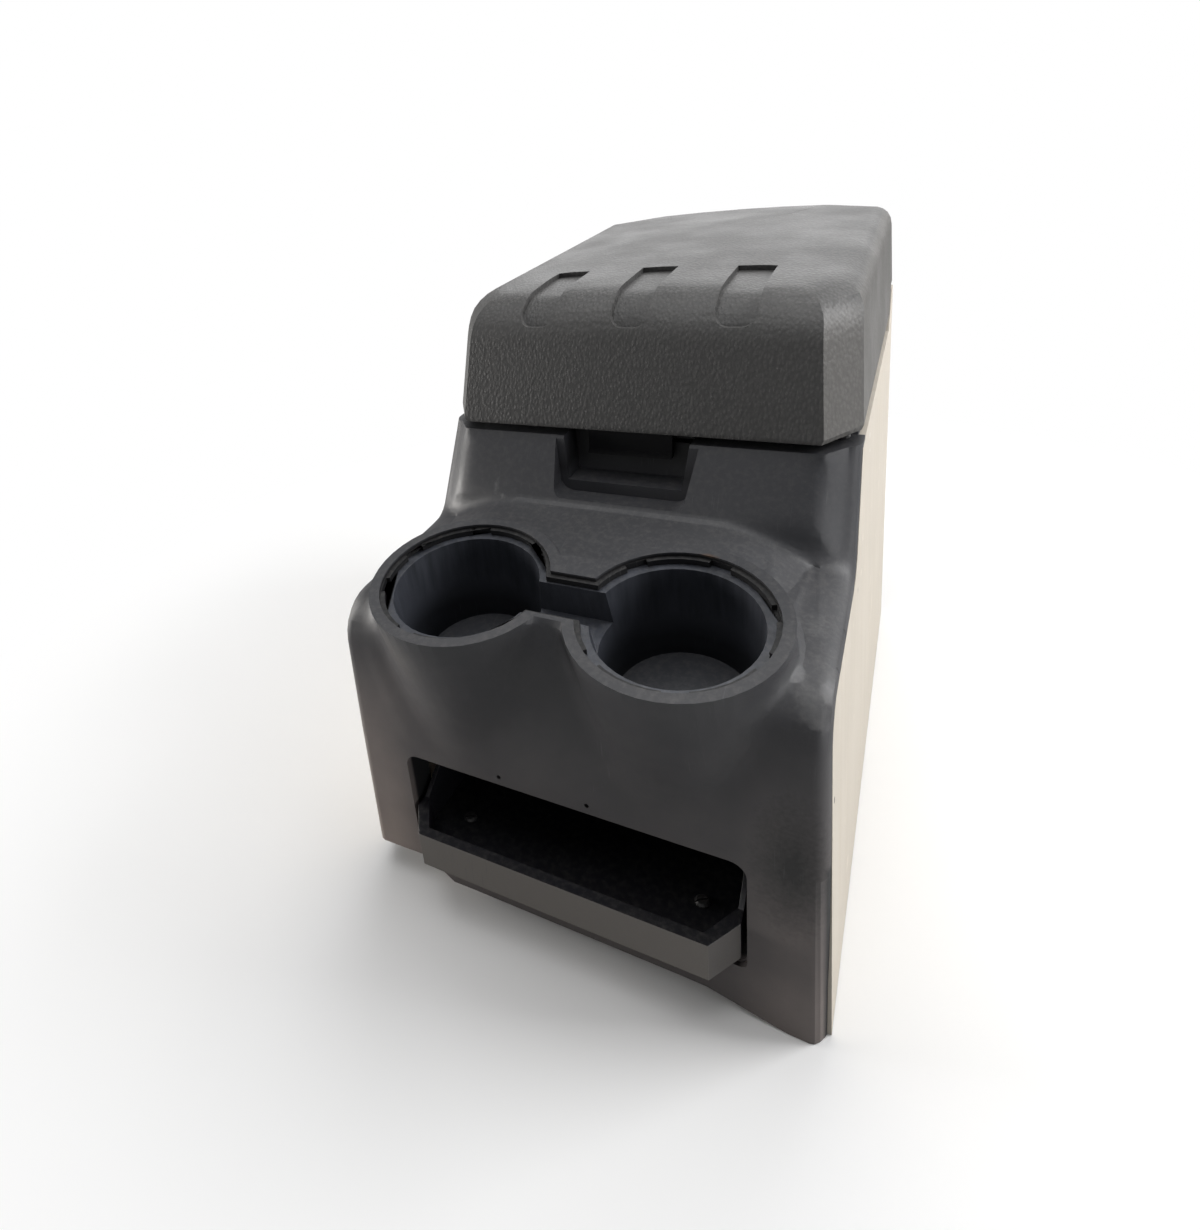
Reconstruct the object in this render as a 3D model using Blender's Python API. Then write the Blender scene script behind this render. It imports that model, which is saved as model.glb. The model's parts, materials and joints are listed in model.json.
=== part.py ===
"""Car center console: storage bin with a hinged lid, two cup holders and a lower tray.

Sizes are in metres. X runs to the right, the front of the console faces -Y and
Z is up from the base. The middle of the length lies at Y = 0.
"""
import math

import bmesh
import bpy
from mathutils import Matrix, Vector
from mathutils.bvhtree import BVHTree

# Overall layout
BASE_HALF_WIDTH = 0.1495
SIDE_DRAFT = 0.0267
DECK_Z = 0.281
GAP = 0.0003

# Front moulding: one profile down its middle and one down each flank
FRONT_WALL = 0.003
FLANK_ROUND = 0.010
SIDE_RETURN = 0.009
TOP_FLANGE_REAR_Y = -0.078
MIDDLE_TOP_Y = -0.115
MIDDLE_CREASE = (-0.1435, 0.2417, 0.010)
MIDDLE_BROW = (-0.266, 0.2225, 0.015)
MIDDLE_BELLY = (-0.2690, 0.120, 0.060)
MIDDLE_FOOT_Y = -0.268
FLANK_TOP_Y = -0.1005
FLANK_CREASE = (-0.137, 0.2195, 0.016)
FLANK_BROW = (-0.266, 0.2165, 0.030)
FLANK_BELLY = (-0.2685, 0.115, 0.120)
FLANK_FOOT_Y = -0.2705
FOOT_SWEEP = 0.014
FOOT_SWEEP_Z = 0.150
FOOT_ARCH_Z = 0.008
FOOT_ARCH_HALF = BASE_HALF_WIDTH - 0.0645
FOOT_RIGHT_X = FOOT_ARCH_HALF + 0.049
FOOT_LEFT_X = FOOT_ARCH_HALF + 0.019
FOOT_LEFT_Z = 0.024
SHELF_BLEND_X = 0.070
FACET_X = BASE_HALF_WIDTH - 0.0267

# Cup holders
CUP_X = 0.0646
CUP_Y = -0.2347
CUP_Z = 0.2327
CUP_TILT = math.radians(8.77)
COLLAR_RADIUS = 0.060
COLLAR_TAPER = math.radians(2.5)
COLLAR_LEAN = math.radians(4.7)
COLLAR_DEPTH = 0.125
COLLAR_FILLET = 0.009
COLLAR_RIM = 0.010
LAND_THICKNESS = 0.006
LAND_STEP_RADIUS = 0.0535
LAND_STEP_DEPTH = 0.0025
CUP_OPENING_RADIUS = 0.0505
WAIST_HALF = 0.015
WAIST_STEP = 0.003
BRIDGE_FRONT = 0.021
BRIDGE_BACK = 0.035
BRIDGE_HALF_X = 0.024
NOTCH_ANGLES = (20, 75, 130, 230, 285, 340)
NOTCH_WIDTH = 0.013
NOTCH_REACH = 0.0022
BUCKET_RADIUS = 0.046
BUCKET_FLOOR_RADIUS = 0.040
BUCKET_WALL = 0.0022
BUCKET_DEPTH = 0.066
TUB_DROP = 0.0063
TUB_FLANGE_RADIUS = 0.0545
TUB_FLANGE_THICKNESS = 0.0020
FLOOR_DISC_RADIUS = 0.036
FLOOR_DISC_HEIGHT = 0.0012
CHANNEL_DEPTH = 0.028

# Finger recess below the lid and the latch in it
RECESS_HALF_TOP = 0.050
RECESS_HALF_LOW = 0.040
RECESS_LOW_Z = DECK_Z - 0.0275
RECESS_BACK_Y = -0.0945
RECESS_STEP_Z = DECK_Z - 0.0195
RECESS_STEP_Y = -0.1160
RECESS_ROUND = 0.010
RECESS_WALL = 0.0025
RECESS_REACH = 0.080

# Lower tray and its opening
TRAY_OPENING_HALF = BASE_HALF_WIDTH - 0.0423
TRAY_OPENING_LOW_Z = 0.036
TRAY_OPENING_TOP_Z = 0.111
TRAY_OPENING_ROUND = 0.009
TRAY_HALF = TRAY_OPENING_HALF - 0.0032
TRAY_LIP_HALF = TRAY_HALF - 0.0136
TRAY_LIP_Y = -0.2886
TRAY_CORNER_Y = -0.2665
TRAY_LOW_Z = 0.043
TRAY_LIP_Z = 0.0686
TRAY_BACK_Y = -0.170
TRAY_BACK_Z = 0.105
TRAY_WALL = 0.003
TRAY_LIP_THICKNESS = 0.007
TRAY_FLOOR = 0.004
TRAY_SCREW_X = TRAY_HALF - 0.026
TRAY_SCREW_Y = -0.2475
PEDESTAL_HALF = 0.010
PEDESTAL_LENGTH = 0.060

# Carrier body
BODY_WALL = 0.003
SEAM = 0.0003
REAR_BASE_Y = 0.171
REAR_LEAN = 0.264
BODY_TOP_Z = DECK_Z - FRONT_WALL - GAP
HUMP_START_Y = 0.190
HUMP_TOP_Y = 0.234
HUMP_Z = DECK_Z + 0.026
BASE_HOLE_X = BASE_HALF_WIDTH - 0.0395
BASE_HOLE_Y = (-0.150, 0.120)
BASE_HOLE_RADIUS = 0.0045

# Storage bin
BIN_HALF = BASE_HALF_WIDTH - 0.0295
BIN_FRONT_Y = -0.068
BIN_BACK_Y = 0.176
BIN_FLOOR_Z = 0.075
BIN_WALL = 0.0025
BIN_DRAFT = 0.012
BIN_FLANGE = 0.0030
BIN_FLANGE_HALF = BIN_HALF + 0.0185
BIN_FLANGE_BACK_Y = 0.1875
BIN_CORNER = 0.018

# Lid
LID_HALF_WIDTH = BASE_HALF_WIDTH - 0.0077
LID_DRAFT = 0.058
LID_LOW_Z = DECK_Z + 0.0046
LID_HEIGHT = 0.0899
LID_TOP_Z = LID_LOW_Z + LID_HEIGHT
LID_CROWN = 0.0035
LID_RISE = 0.008
LID_SIDE_FALL = 0.008
LID_FRONT_Y = -0.1175
LID_LEAN = 0.285
LID_BACK_Y = 0.294
LID_BOW = 0.012
LID_FACET_X = 0.019
LID_FACET_Y = 0.0305
LID_BACK_FACET_X = 0.043
LID_BACK_FACET_Y = 0.031
LID_FRONT_ROUND = 0.030
LID_SIDE_ROUND = 0.016
LID_BACK_ROUND = 0.010
LID_LOW_ROUND = 0.005
LID_WALL = 0.0042
LID_STEP_Y = 0.192
LID_STEP_TOP_Y = 0.236
LID_STEP_Z = LID_LOW_Z + 0.0259
GROOVE_X = 0.0679
GROOVE_WIDTH = 0.026
GROOVE_DEPTH = 0.0036
GROOVE_BACK_Y = -0.0155
GROOVE_LOW_Z = LID_TOP_Z - 0.022
GROOVE_ROUND = 0.009

# Lid inner panel
PANEL_Z = LID_LOW_Z + 0.0079
PANEL_THICKNESS = 0.003
PANEL_EDGE_GAP = 0.0006
PANEL_SCREW_X = LID_HALF_WIDTH - 0.0418
PANEL_SCREW_Y = (-0.035, 0.150)

# Hinge
HINGE_Y = 0.2560
HINGE_Z = LID_STEP_Z - 0.0095
HINGE_PIN_RADIUS = 0.0020
HINGE_KNUCKLE_RADIUS = 0.0042
HINGE_HALF = LID_HALF_WIDTH - 0.0508
HINGE_LEAF = 0.0018
HINGE_LEAF_DROP = 0.034
HINGE_LEAF_REACH = 0.020
HINGE_SCREW_X = HINGE_HALF - 0.021
HINGE_LID_SCREW_Y = 0.268
HINGE_SCREW_LENGTH = 0.0045

# Latch
LATCH_Y = -0.1005
LATCH_Z = PANEL_Z - 0.0045
LATCH_PIN_RADIUS = 0.0020
LATCH_BORE_GAP = 0.0003
LATCH_EYE_RADIUS = 0.0042
LATCH_HALF = 0.030
LATCH_LOW_Z = LATCH_Z - 0.0225
LATCH_PLATE = 0.003
LATCH_EAR = 0.004
LATCH_EAR_ROOM = 0.0065
LATCH_HOOK_HALF = 0.006
STRIKER_WIRE = 0.002
STRIKER_HALF = 0.013
STRIKER_Y = -0.0845
STRIKER_Z = LATCH_Z - 0.0015
STRIKER_FOOT = 0.004
SPRING_WIRE = 0.0006
SPRING_TURNS = 4

# Screws and bumpers
SCREW_HEAD_RADIUS = 0.0045
SCREW_HEAD_HEIGHT = 0.0022
SCREW_RADIUS = 0.0018
SCREW_LENGTH = 0.012
SCREW_SLOT = 0.0008
BOSS_RADIUS = 0.005
FRONT_SCREW_X = BIN_FLANGE_HALF - 0.0085
FRONT_SCREW_Y = -0.084
BUMPER_RADIUS = 0.005
BUMPER_X = BIN_FLANGE_HALF - 0.0095
BUMPER_Y = -0.020

# Small holes in the front above the tray
PIN_HOLE_X = (-0.0372, 0.0195)
PIN_HOLE_Z = TRAY_OPENING_TOP_Z + 0.006
PIN_HOLE_RADIUS = 0.0015

# Round faces
RING_STEPS = 44
SMALL_STEPS = 16
SCREW_STEPS = 12
CORNER_STEPS = 6


# Scene and collections

for old in list(bpy.data.objects):
    bpy.data.objects.remove(old)

model = bpy.data.collections.new("center_console")
bpy.context.scene.collection.children.link(model)
cutters = bpy.data.collections.new("cutters")
cutters.hide_render = True
bpy.context.scene.collection.children.link(cutters)


def material(name, colour, roughness, metallic=0.0):
    made = bpy.data.materials.new(name)
    made.use_nodes = True
    shader = made.node_tree.nodes["Principled BSDF"]
    shader.inputs["Base Color"].default_value = (*colour, 1.0)
    shader.inputs["Roughness"].default_value = roughness
    shader.inputs["Metallic"].default_value = metallic
    return made


lid_vinyl = material("lid_plastic", (0.070, 0.068, 0.066), 0.55)
front_plastic = material("front_plastic", (0.050, 0.050, 0.054), 0.45)
black_plastic = material("black_plastic", (0.015, 0.016, 0.019), 0.40)
pale_plastic = material("pale_plastic", (0.62, 0.58, 0.51), 0.60)
rubber = material("rubber", (0.020, 0.020, 0.020), 0.85)
steel = material("steel", (0.55, 0.55, 0.56), 0.35, 1.0)
black_steel = material("black_steel", (0.030, 0.030, 0.032), 0.50)


# Shape helpers


def place(name, bm, helper=False, surface=None, smooth=40):
    """Turn a bmesh into an object, as a piece or as a helper for cutting and joining."""
    bmesh.ops.recalc_face_normals(bm, faces=bm.faces)
    mesh = bpy.data.meshes.new(name)
    bm.to_mesh(mesh)
    bm.free()
    obj = bpy.data.objects.new(name, mesh)
    if helper:
        obj.hide_render = True
        obj.display_type = "WIRE"
        cutters.objects.link(obj)
    else:
        model.objects.link(obj)
        obj.data.materials.append(surface)
        obj.data.set_sharp_from_angle(angle=math.radians(smooth))
    return obj


def settle(obj, name, surface, smooth=35):
    """Make the finished piece from a helper and its modifiers."""
    graph = bpy.context.evaluated_depsgraph_get()
    mesh = bpy.data.meshes.new_from_object(obj.evaluated_get(graph))
    bm = bmesh.new()
    bm.from_mesh(mesh)
    bmesh.ops.transform(bm, matrix=obj.matrix_world, verts=bm.verts)
    bmesh.ops.remove_doubles(bm, verts=bm.verts, dist=0.00002)
    bmesh.ops.dissolve_degenerate(bm, edges=bm.edges, dist=0.00002)
    return place(name, bm, surface=surface, smooth=smooth)


def boolean(target, other, operation):
    step = target.modifiers.new(operation.lower(), "BOOLEAN")
    step.operation = operation
    step.object = other
    step.solver = "EXACT"
    return target


def cut(target, *others):
    for other in others:
        boolean(target, other, "DIFFERENCE")
    return target


def join(target, *others):
    for other in others:
        boolean(target, other, "UNION")
    return target


def stack(rings, cap=True):
    """A closed skin over a list of rings with the same number of points."""
    bm = bmesh.new()
    rows = [[bm.verts.new(point) for point in ring] for ring in rings]
    count = len(rows[0])
    for low, high in zip(rows, rows[1:]):
        for i in range(count):
            j = (i + 1) % count
            bm.faces.new((low[i], low[j], high[j], high[i]))
    if cap:
        bm.faces.new(rows[0])
        bm.faces.new(rows[-1])
    return bm


def prism_x(name, outline, x0, x1, helper=True, surface=None):
    """An outline in Y and Z carried along X."""
    rings = [[(x, y, z) for y, z in outline] for x in (x0, x1)]
    return place(name, stack(rings), helper, surface)


def prism_y(name, outline, y0, y1, helper=True, surface=None):
    rings = [[(x, y, z) for x, z in outline] for y in (y0, y1)]
    return place(name, stack(rings), helper, surface)


def prism_z(name, outline, z0, z1, helper=True, surface=None):
    rings = [[(x, y, z) for x, y in outline] for z in (z0, z1)]
    return place(name, stack(rings), helper, surface)


def block(name, x, y, z, helper=True, surface=None):
    outline = [(y[0], z[0]), (y[1], z[0]), (y[1], z[1]), (y[0], z[1])]
    return prism_x(name, outline, x[0], x[1], helper, surface)


def turned(name, profile, matrix, steps=RING_STEPS, helper=True, surface=None):
    """A profile of (radius, height) pairs turned about the Z axis of the matrix."""
    bm = bmesh.new()
    rows = []
    for radius, height in profile:
        if radius < 1e-7:
            rows.append([bm.verts.new((0, 0, height))])
            continue
        row = []
        for k in range(steps):
            angle = 2 * math.pi * k / steps
            row.append(bm.verts.new((radius * math.cos(angle), radius * math.sin(angle), height)))
        rows.append(row)
    for a, b in zip(rows, rows[1:] + rows[:1]):
        for k in range(steps):
            n = (k + 1) % steps
            corners = [a[k % len(a)], a[n % len(a)], b[n % len(b)], b[k % len(b)]]
            unique = list(dict.fromkeys(corners))
            if len(unique) > 2:
                bm.faces.new(unique)
    bmesh.ops.transform(bm, matrix=matrix, verts=bm.verts)
    return place(name, bm, helper, surface)


def rounded(corners, steps=CORNER_STEPS):
    """An open path through (y, z, radius) corners, with an arc at each inner corner."""
    path = [corners[0][:2]]
    for before, here, after in zip(corners, corners[1:], corners[2:]):
        point = Vector(here[:2])
        back = (Vector(before[:2]) - point).normalized()
        ahead = (Vector(after[:2]) - point).normalized()
        half = back.angle(ahead) / 2
        reach = here[2] / math.tan(half)
        middle = point + (back + ahead).normalized() * (here[2] / math.sin(half))
        start = point + back * reach - middle
        turn = start.angle_signed(point + ahead * reach - middle)
        for k in range(steps + 1):
            arm = start.copy()
            arm.rotate(Matrix.Rotation(-turn * k / steps, 2))
            path.append(tuple(middle + arm))
    path.append(corners[-1][:2])
    return path


def rounded_loop(corners, steps=CORNER_STEPS):
    """A closed outline with an arc at each corner that has a radius."""
    outline = []
    count = len(corners)
    for i in range(count):
        trio = [corners[i - 1], corners[i], corners[(i + 1) % count]]
        if trio[1][2] <= 0:
            outline.append(tuple(trio[1][:2]))
            continue
        outline += rounded(trio, steps)[1:-1]
    return outline


def inset_path(path, distance):
    """The path moved by a distance to its inner side, which lies behind and below it."""
    moved = []
    for i, point in enumerate(path):
        before = Vector(path[max(i - 1, 0)])
        after = Vector(path[min(i + 1, len(path) - 1)])
        here = Vector(point)
        sides = []
        for a, b in ((before, here), (here, after)):
            step = b - a
            if step.length > 1e-9:
                sides.append(Vector((-step.y, step.x)).normalized())
        normal = sum(sides, Vector((0.0, 0.0))).normalized()
        spread = max(normal.dot(sides[0]), 0.5)
        moved.append(here + normal * (distance / spread))
    return moved


# Front moulding


def middle_corners():
    return [
        (MIDDLE_TOP_Y, DECK_Z, 0),
        MIDDLE_CREASE,
        MIDDLE_BROW,
        MIDDLE_BELLY,
        (MIDDLE_FOOT_Y, 0.0, 0),
    ]


def flank_corners():
    return [
        (FLANK_TOP_Y, DECK_Z, 0),
        FLANK_CREASE,
        FLANK_BROW,
        FLANK_BELLY,
        (FLANK_FOOT_Y, 0.0, 0),
    ]


def ease(value):
    value = min(max(value, 0.0), 1.0)
    return value * value * (3 - 2 * value)


def front_path(x):
    """The outer profile at a distance x from the middle."""
    flank_x = BASE_HALF_WIDTH - FLANK_ROUND
    facet = min(max((x - FACET_X) / (flank_x - FACET_X), 0.0), 1.0)
    shelf = ease((x - SHELF_BLEND_X) / (flank_x - SHELF_BLEND_X))
    middle = rounded(middle_corners())
    flank = rounded(flank_corners())
    path = []
    for i, (a, b) in enumerate(zip(middle, flank)):
        share = min(i / (CORNER_STEPS + 1), 1.0)
        weight = facet * (1 - share) + shelf * share
        path.append((a[0] + (b[0] - a[0]) * weight, a[1] + (b[1] - a[1]) * weight))
    return path


def end_at(path, top, low):
    """Carry the two ends of a path on to a top level and a low level."""
    out = [Vector(point) for point in path]
    for end, near, level in ((0, 1, top), (-1, -2, low)):
        slope = (out[end] - out[near])
        share = (level - out[near].y) / slope.y
        out[end] = out[near] + slope * share
    return out


def drafted(x, z):
    """Side draft: only what lies outside the facets leans in."""
    share = (x - FACET_X) / (BASE_HALF_WIDTH - FACET_X)
    return x - SIDE_DRAFT * z * max(share, 0.0)


def front_block(name, inset, side_inset, rear, top, low):
    """The solid behind the front surface, drawn in by an inset."""
    stations = [(FACET_X * share, 0.0) for share in (0, 0.28, 0.57, 0.68, 0.8, 0.9, 1)]
    flank_x = BASE_HALF_WIDTH - FLANK_ROUND
    for k in range(CORNER_STEPS + 1):
        angle = math.pi / 2 * k / CORNER_STEPS
        x = flank_x + FLANK_ROUND * math.sin(angle)
        stations.append((x, FLANK_ROUND * (1 - math.cos(angle))))
    half = []
    widest = BASE_HALF_WIDTH - side_inset
    for x, roll in stations:
        outer_share = max(x - FACET_X, 0.0) / (BASE_HALF_WIDTH - FACET_X)
        at = min(x, FACET_X) + outer_share * (widest - FACET_X)
        path = end_at(inset_path(front_path(x), inset + roll), top, low)
        sweep = FOOT_SWEEP * roll / FLANK_ROUND
        outline = [(y + sweep * ease(1 - z / FOOT_SWEEP_Z), z) for y, z in path]
        outline += [(rear, low), (rear, top)]
        half.append([(at, y, z) for y, z in outline])
    right = [[(drafted(x, z), y, z) for x, y, z in ring] for ring in half]
    left = [[(-x, y, z) for x, y, z in ring] for ring in reversed(right[1:])]
    return place(name, stack(left + right), helper=True)


ring_frame = (
    Matrix.Translation((0, CUP_Y, CUP_Z))
    @ Matrix.Rotation(CUP_TILT, 4, "X")
)


def cup_frame(side):
    return ring_frame @ Matrix.Translation((side * CUP_X, 0, 0))


def eight(radius, front_half, back_half):
    """Outline of both cups joined at the waist, in the plane of the rings."""
    outline = []
    for side in (1, -1):
        first = -math.asin(front_half / radius)
        last = math.asin(back_half / radius)
        begin, end = -math.pi + -first, math.pi - last
        if side < 0:
            begin, end = last, 2 * math.pi + first
        for k in range(RING_STEPS - 7):
            angle = begin + (end - begin) * k / (RING_STEPS - 8)
            x = side * CUP_X + radius * math.cos(angle)
            outline.append((x, radius * math.sin(angle)))
    return outline


def eight_solid(name, levels):
    """Cups and waist as one solid: each level is depth, radius, front half, back half, shift."""
    rings = []
    for depth, radius, low, high, shift in levels:
        outline = eight(radius, low, high)
        rings.append([tuple(ring_frame @ Vector((x, y + shift, -depth))) for x, y in outline])
    return place(name, stack(rings), helper=True)


def in_ring_plane(name, x, y, z):
    """A box in the tilted plane of the cup rings."""
    obj = block(name, x, y, z)
    obj.data.transform(ring_frame)
    return obj


front = front_block("front_outer", 0.0, 0.0, TOP_FLANGE_REAR_Y, DECK_Z, 0.0)
front_room = front_block(
    "front_room", FRONT_WALL, FRONT_WALL, TOP_FLANGE_REAR_Y + 0.05, DECK_Z - FRONT_WALL, -0.02
)
front_behind = front_block(
    "front_behind", SIDE_RETURN, -0.02, TOP_FLANGE_REAR_Y + 0.05, DECK_Z - FRONT_WALL, -0.03
)
narrowing = math.tan(COLLAR_TAPER)
leaning = math.tan(COLLAR_LEAN)
collar_foot = COLLAR_RADIUS - COLLAR_DEPTH * narrowing


def front_surface():
    mesh = front.data
    return BVHTree.FromPolygons([v.co for v in mesh.vertices], [p.vertices for p in mesh.polygons])


def fillet(above, facing):
    """Widening of a wall at a height above a surface; facing is the cosine between them."""
    sine = math.sqrt(1 - facing * facing)
    if sine < 0.05:
        return 0.0
    tangent = COLLAR_FILLET * (1 - facing) / sine
    along = min(max(tangent - above / sine, 0.0), COLLAR_FILLET * sine)
    return COLLAR_FILLET - math.sqrt(COLLAR_FILLET**2 - along**2)


def flared_collars(levels):
    """Collars that widen in a fillet wherever they come near the front surface."""
    surface = front_surface()
    rings = []
    for depth in levels:
        outline = eight(COLLAR_RADIUS - depth * narrowing, BRIDGE_FRONT, BRIDGE_BACK)
        ring = []
        for x, y in outline:
            side = 1 if x > 0 else -1
            outward = Vector((x - side * CUP_X, y, 0)).normalized()
            waist = ease((-outward.x * side - 0.5) / 0.35)
            outward = outward.lerp(Vector((0, math.copysign(1, y), 0)), waist).normalized()
            point = Vector((x, y + depth * leaning, -depth))
            at, normal, index, gap = surface.find_nearest(ring_frame @ point)
            above = (ring_frame @ point - at).dot(normal)
            facing = max(outward.dot(ring_frame.to_3x3().transposed() @ normal), 0.0)
            widen = fillet(above, facing) * ease(depth / COLLAR_RIM)
            inward = -outward.x * side
            if inward > 0:
                widen = min(widen, (abs(x) - 0.001) / inward)
            ring.append(tuple(ring_frame @ (point + outward * widen)))
        rings.append(ring)
    return place("collars", stack(rings), helper=True)


collars = flared_collars(
    [COLLAR_DEPTH * share for share in (0, 0.03, 0.06, 0.1, 0.15, 0.21, 0.3, 0.4, 0.52, 0.66, 0.82, 1)]
)
collar_room = eight_solid(
    "collar_room",
    [
        (
            LAND_THICKNESS,
            COLLAR_RADIUS - FRONT_WALL - LAND_THICKNESS * narrowing,
            BRIDGE_FRONT - FRONT_WALL,
            BRIDGE_BACK - FRONT_WALL,
            LAND_THICKNESS * leaning,
        ),
        (
            COLLAR_DEPTH - FRONT_WALL,
            collar_foot - FRONT_WALL,
            BRIDGE_FRONT - FRONT_WALL,
            BRIDGE_BACK - FRONT_WALL,
            (COLLAR_DEPTH - FRONT_WALL) * leaning,
        ),
    ],
)
join(front, collars)
join(front_room, collar_room)
foot_arch = prism_y(
    "foot_arch",
    [
        (-BASE_HALF_WIDTH - 0.005, -0.001),
        (-BASE_HALF_WIDTH - 0.005, FOOT_LEFT_Z),
        (-FOOT_LEFT_X, FOOT_LEFT_Z),
        (-FOOT_ARCH_HALF, FOOT_ARCH_Z),
        (FOOT_ARCH_HALF, FOOT_ARCH_Z),
        (FOOT_RIGHT_X, -0.001),
    ],
    MIDDLE_FOOT_Y - 0.02,
    MIDDLE_FOOT_Y + 0.02,
)
cut(front, foot_arch)
for x in PIN_HOLE_X:
    pin_hole = turned(
        "pin_hole",
        [
            (0, 0.02),
            (PIN_HOLE_RADIUS, 0.02),
            (PIN_HOLE_RADIUS, -0.02),
            (0, -0.02),
        ],
        Matrix.Translation((x, MIDDLE_BELLY[0], PIN_HOLE_Z)) @ Matrix.Rotation(math.pi / 2, 4, "X"),
        8,
    )
    cut(front, pin_hole)


def recess_outline(grow):
    """Front view of the finger recess, open at the top."""
    top = DECK_Z + 0.02
    spread = (RECESS_HALF_TOP - RECESS_HALF_LOW) / (DECK_Z - RECESS_LOW_Z)
    wide = RECESS_HALF_TOP + spread * (top - DECK_Z) + grow
    low_half = RECESS_HALF_LOW + grow
    low = RECESS_LOW_Z - grow
    return rounded_loop(
        [
            (-wide, top, 0),
            (-low_half, low, RECESS_ROUND + grow),
            (low_half, low, RECESS_ROUND + grow),
            (wide, top, 0),
        ]
    )


def recess_cutter(name, grow):
    """The recess: a shallow step in front of a deeper well."""
    shallow = prism_y(name, recess_outline(grow), RECESS_STEP_Y - RECESS_REACH, RECESS_STEP_Y + grow)
    outline = [
        (x * (1 - 0.006 / RECESS_HALF_TOP), max(z, RECESS_STEP_Z - grow))
        for x, z in recess_outline(grow)
    ]
    seen = []
    for point in outline:
        if not seen or (Vector(point) - Vector(seen[-1])).length > 1e-5:
            seen.append(point)
    deep = prism_y(
        name + "_well", seen, RECESS_STEP_Y - RECESS_REACH * 0.9, RECESS_BACK_Y + grow
    )
    return join(shallow, deep)


cut(front_room, recess_cutter("recess_backing", RECESS_WALL))
front_behind_clear = recess_cutter("recess_backing_behind", RECESS_WALL)
cut(front_behind, front_behind_clear)
cut(front, front_room, front_behind)
cut(front, recess_cutter("recess", 0.0))


cup_opening = eight_solid(
    "cup_opening",
    [
        (-0.01, CUP_OPENING_RADIUS, WAIST_HALF, WAIST_HALF, 0.0),
        (0.02, CUP_OPENING_RADIUS, WAIST_HALF, WAIST_HALF, 0.0),
    ],
)
step_half = WAIST_HALF + WAIST_STEP
cup_step = eight_solid(
    "cup_step",
    [
        (-0.01, LAND_STEP_RADIUS, step_half, step_half, 0.0),
        (LAND_STEP_DEPTH, LAND_STEP_RADIUS, step_half, step_half, 0.0),
    ],
)
cut(front, cup_opening, cup_step)
for side, word in ((-1, "left"), (1, "right")):
    for angle in NOTCH_ANGLES:
        turn = angle if side > 0 else 180 - angle
        notch = block(
            "notch",
            (CUP_OPENING_RADIUS - 0.003, CUP_OPENING_RADIUS + NOTCH_REACH),
            (-NOTCH_WIDTH / 2, NOTCH_WIDTH / 2),
            (-0.015, 0.005),
        )
        notch.data.transform(cup_frame(side) @ Matrix.Rotation(math.radians(turn), 4, "Z"))
        cut(front, notch)

tray_hole = rounded_loop(
    [
        (-TRAY_OPENING_HALF, TRAY_OPENING_LOW_Z, TRAY_OPENING_ROUND / 2),
        (TRAY_OPENING_HALF, TRAY_OPENING_LOW_Z, TRAY_OPENING_ROUND / 2),
        (TRAY_OPENING_HALF, TRAY_OPENING_TOP_Z, TRAY_OPENING_ROUND),
        (-TRAY_OPENING_HALF, TRAY_OPENING_TOP_Z, TRAY_OPENING_ROUND),
    ]
)
cut(front, prism_y("tray_hole", tray_hole, TRAY_LIP_Y - 0.03, TRAY_BACK_Y - 0.03))


# Cup tub: two buckets and the channel between them, hung below the rings

bucket_slope = (BUCKET_RADIUS - BUCKET_FLOOR_RADIUS) / (BUCKET_DEPTH - TUB_DROP)
tub_foot = BUCKET_DEPTH + BUCKET_WALL
flange_low = TUB_DROP + TUB_FLANGE_THICKNESS
flange_front = BRIDGE_FRONT - FRONT_WALL - 0.001
flange_back = BRIDGE_BACK - FRONT_WALL - 0.001
tub = eight_solid(
    "tub_flange",
    [
        (TUB_DROP, TUB_FLANGE_RADIUS, flange_front, flange_back, 0.0),
        (flange_low, TUB_FLANGE_RADIUS, flange_front, flange_back, 0.0),
    ],
)
channel_half = WAIST_HALF - 0.001
for side, word in ((-1, "left"), (1, "right")):
    outer_top = BUCKET_RADIUS + BUCKET_WALL
    outer_low = BUCKET_FLOOR_RADIUS + BUCKET_WALL
    bucket = turned(
        "bucket_" + word,
        [
            (0, -TUB_DROP - 0.0005),
            (outer_top, -TUB_DROP - 0.0005),
            (outer_low, -tub_foot),
            (0, -tub_foot),
        ],
        cup_frame(side),
    )
    join(tub, bucket)
trough = in_ring_plane(
    "trough",
    (-CUP_X + 0.020, CUP_X - 0.020),
    (-channel_half - BUCKET_WALL, channel_half + BUCKET_WALL),
    (-CHANNEL_DEPTH - BUCKET_WALL, -TUB_DROP - 0.0008),
)
join(tub, trough)
for side, word in ((-1, "left"), (1, "right")):
    room = turned(
        "bucket_room_" + word,
        [
            (0, 0.004),
            (BUCKET_RADIUS + (TUB_DROP + 0.004) * bucket_slope, 0.004),
            (BUCKET_FLOOR_RADIUS, -BUCKET_DEPTH),
            (FLOOR_DISC_RADIUS, -BUCKET_DEPTH),
            (FLOOR_DISC_RADIUS, -BUCKET_DEPTH + FLOOR_DISC_HEIGHT),
            (0, -BUCKET_DEPTH + FLOOR_DISC_HEIGHT),
        ],
        cup_frame(side),
    )
    cut(tub, room)
channel = in_ring_plane(
    "channel", (-CUP_X, CUP_X), (-channel_half, channel_half), (-CHANNEL_DEPTH, 0.003)
)
cut(tub, channel)
cup_tub = settle(tub, "cup_tub", black_plastic)


# Screws


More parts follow.
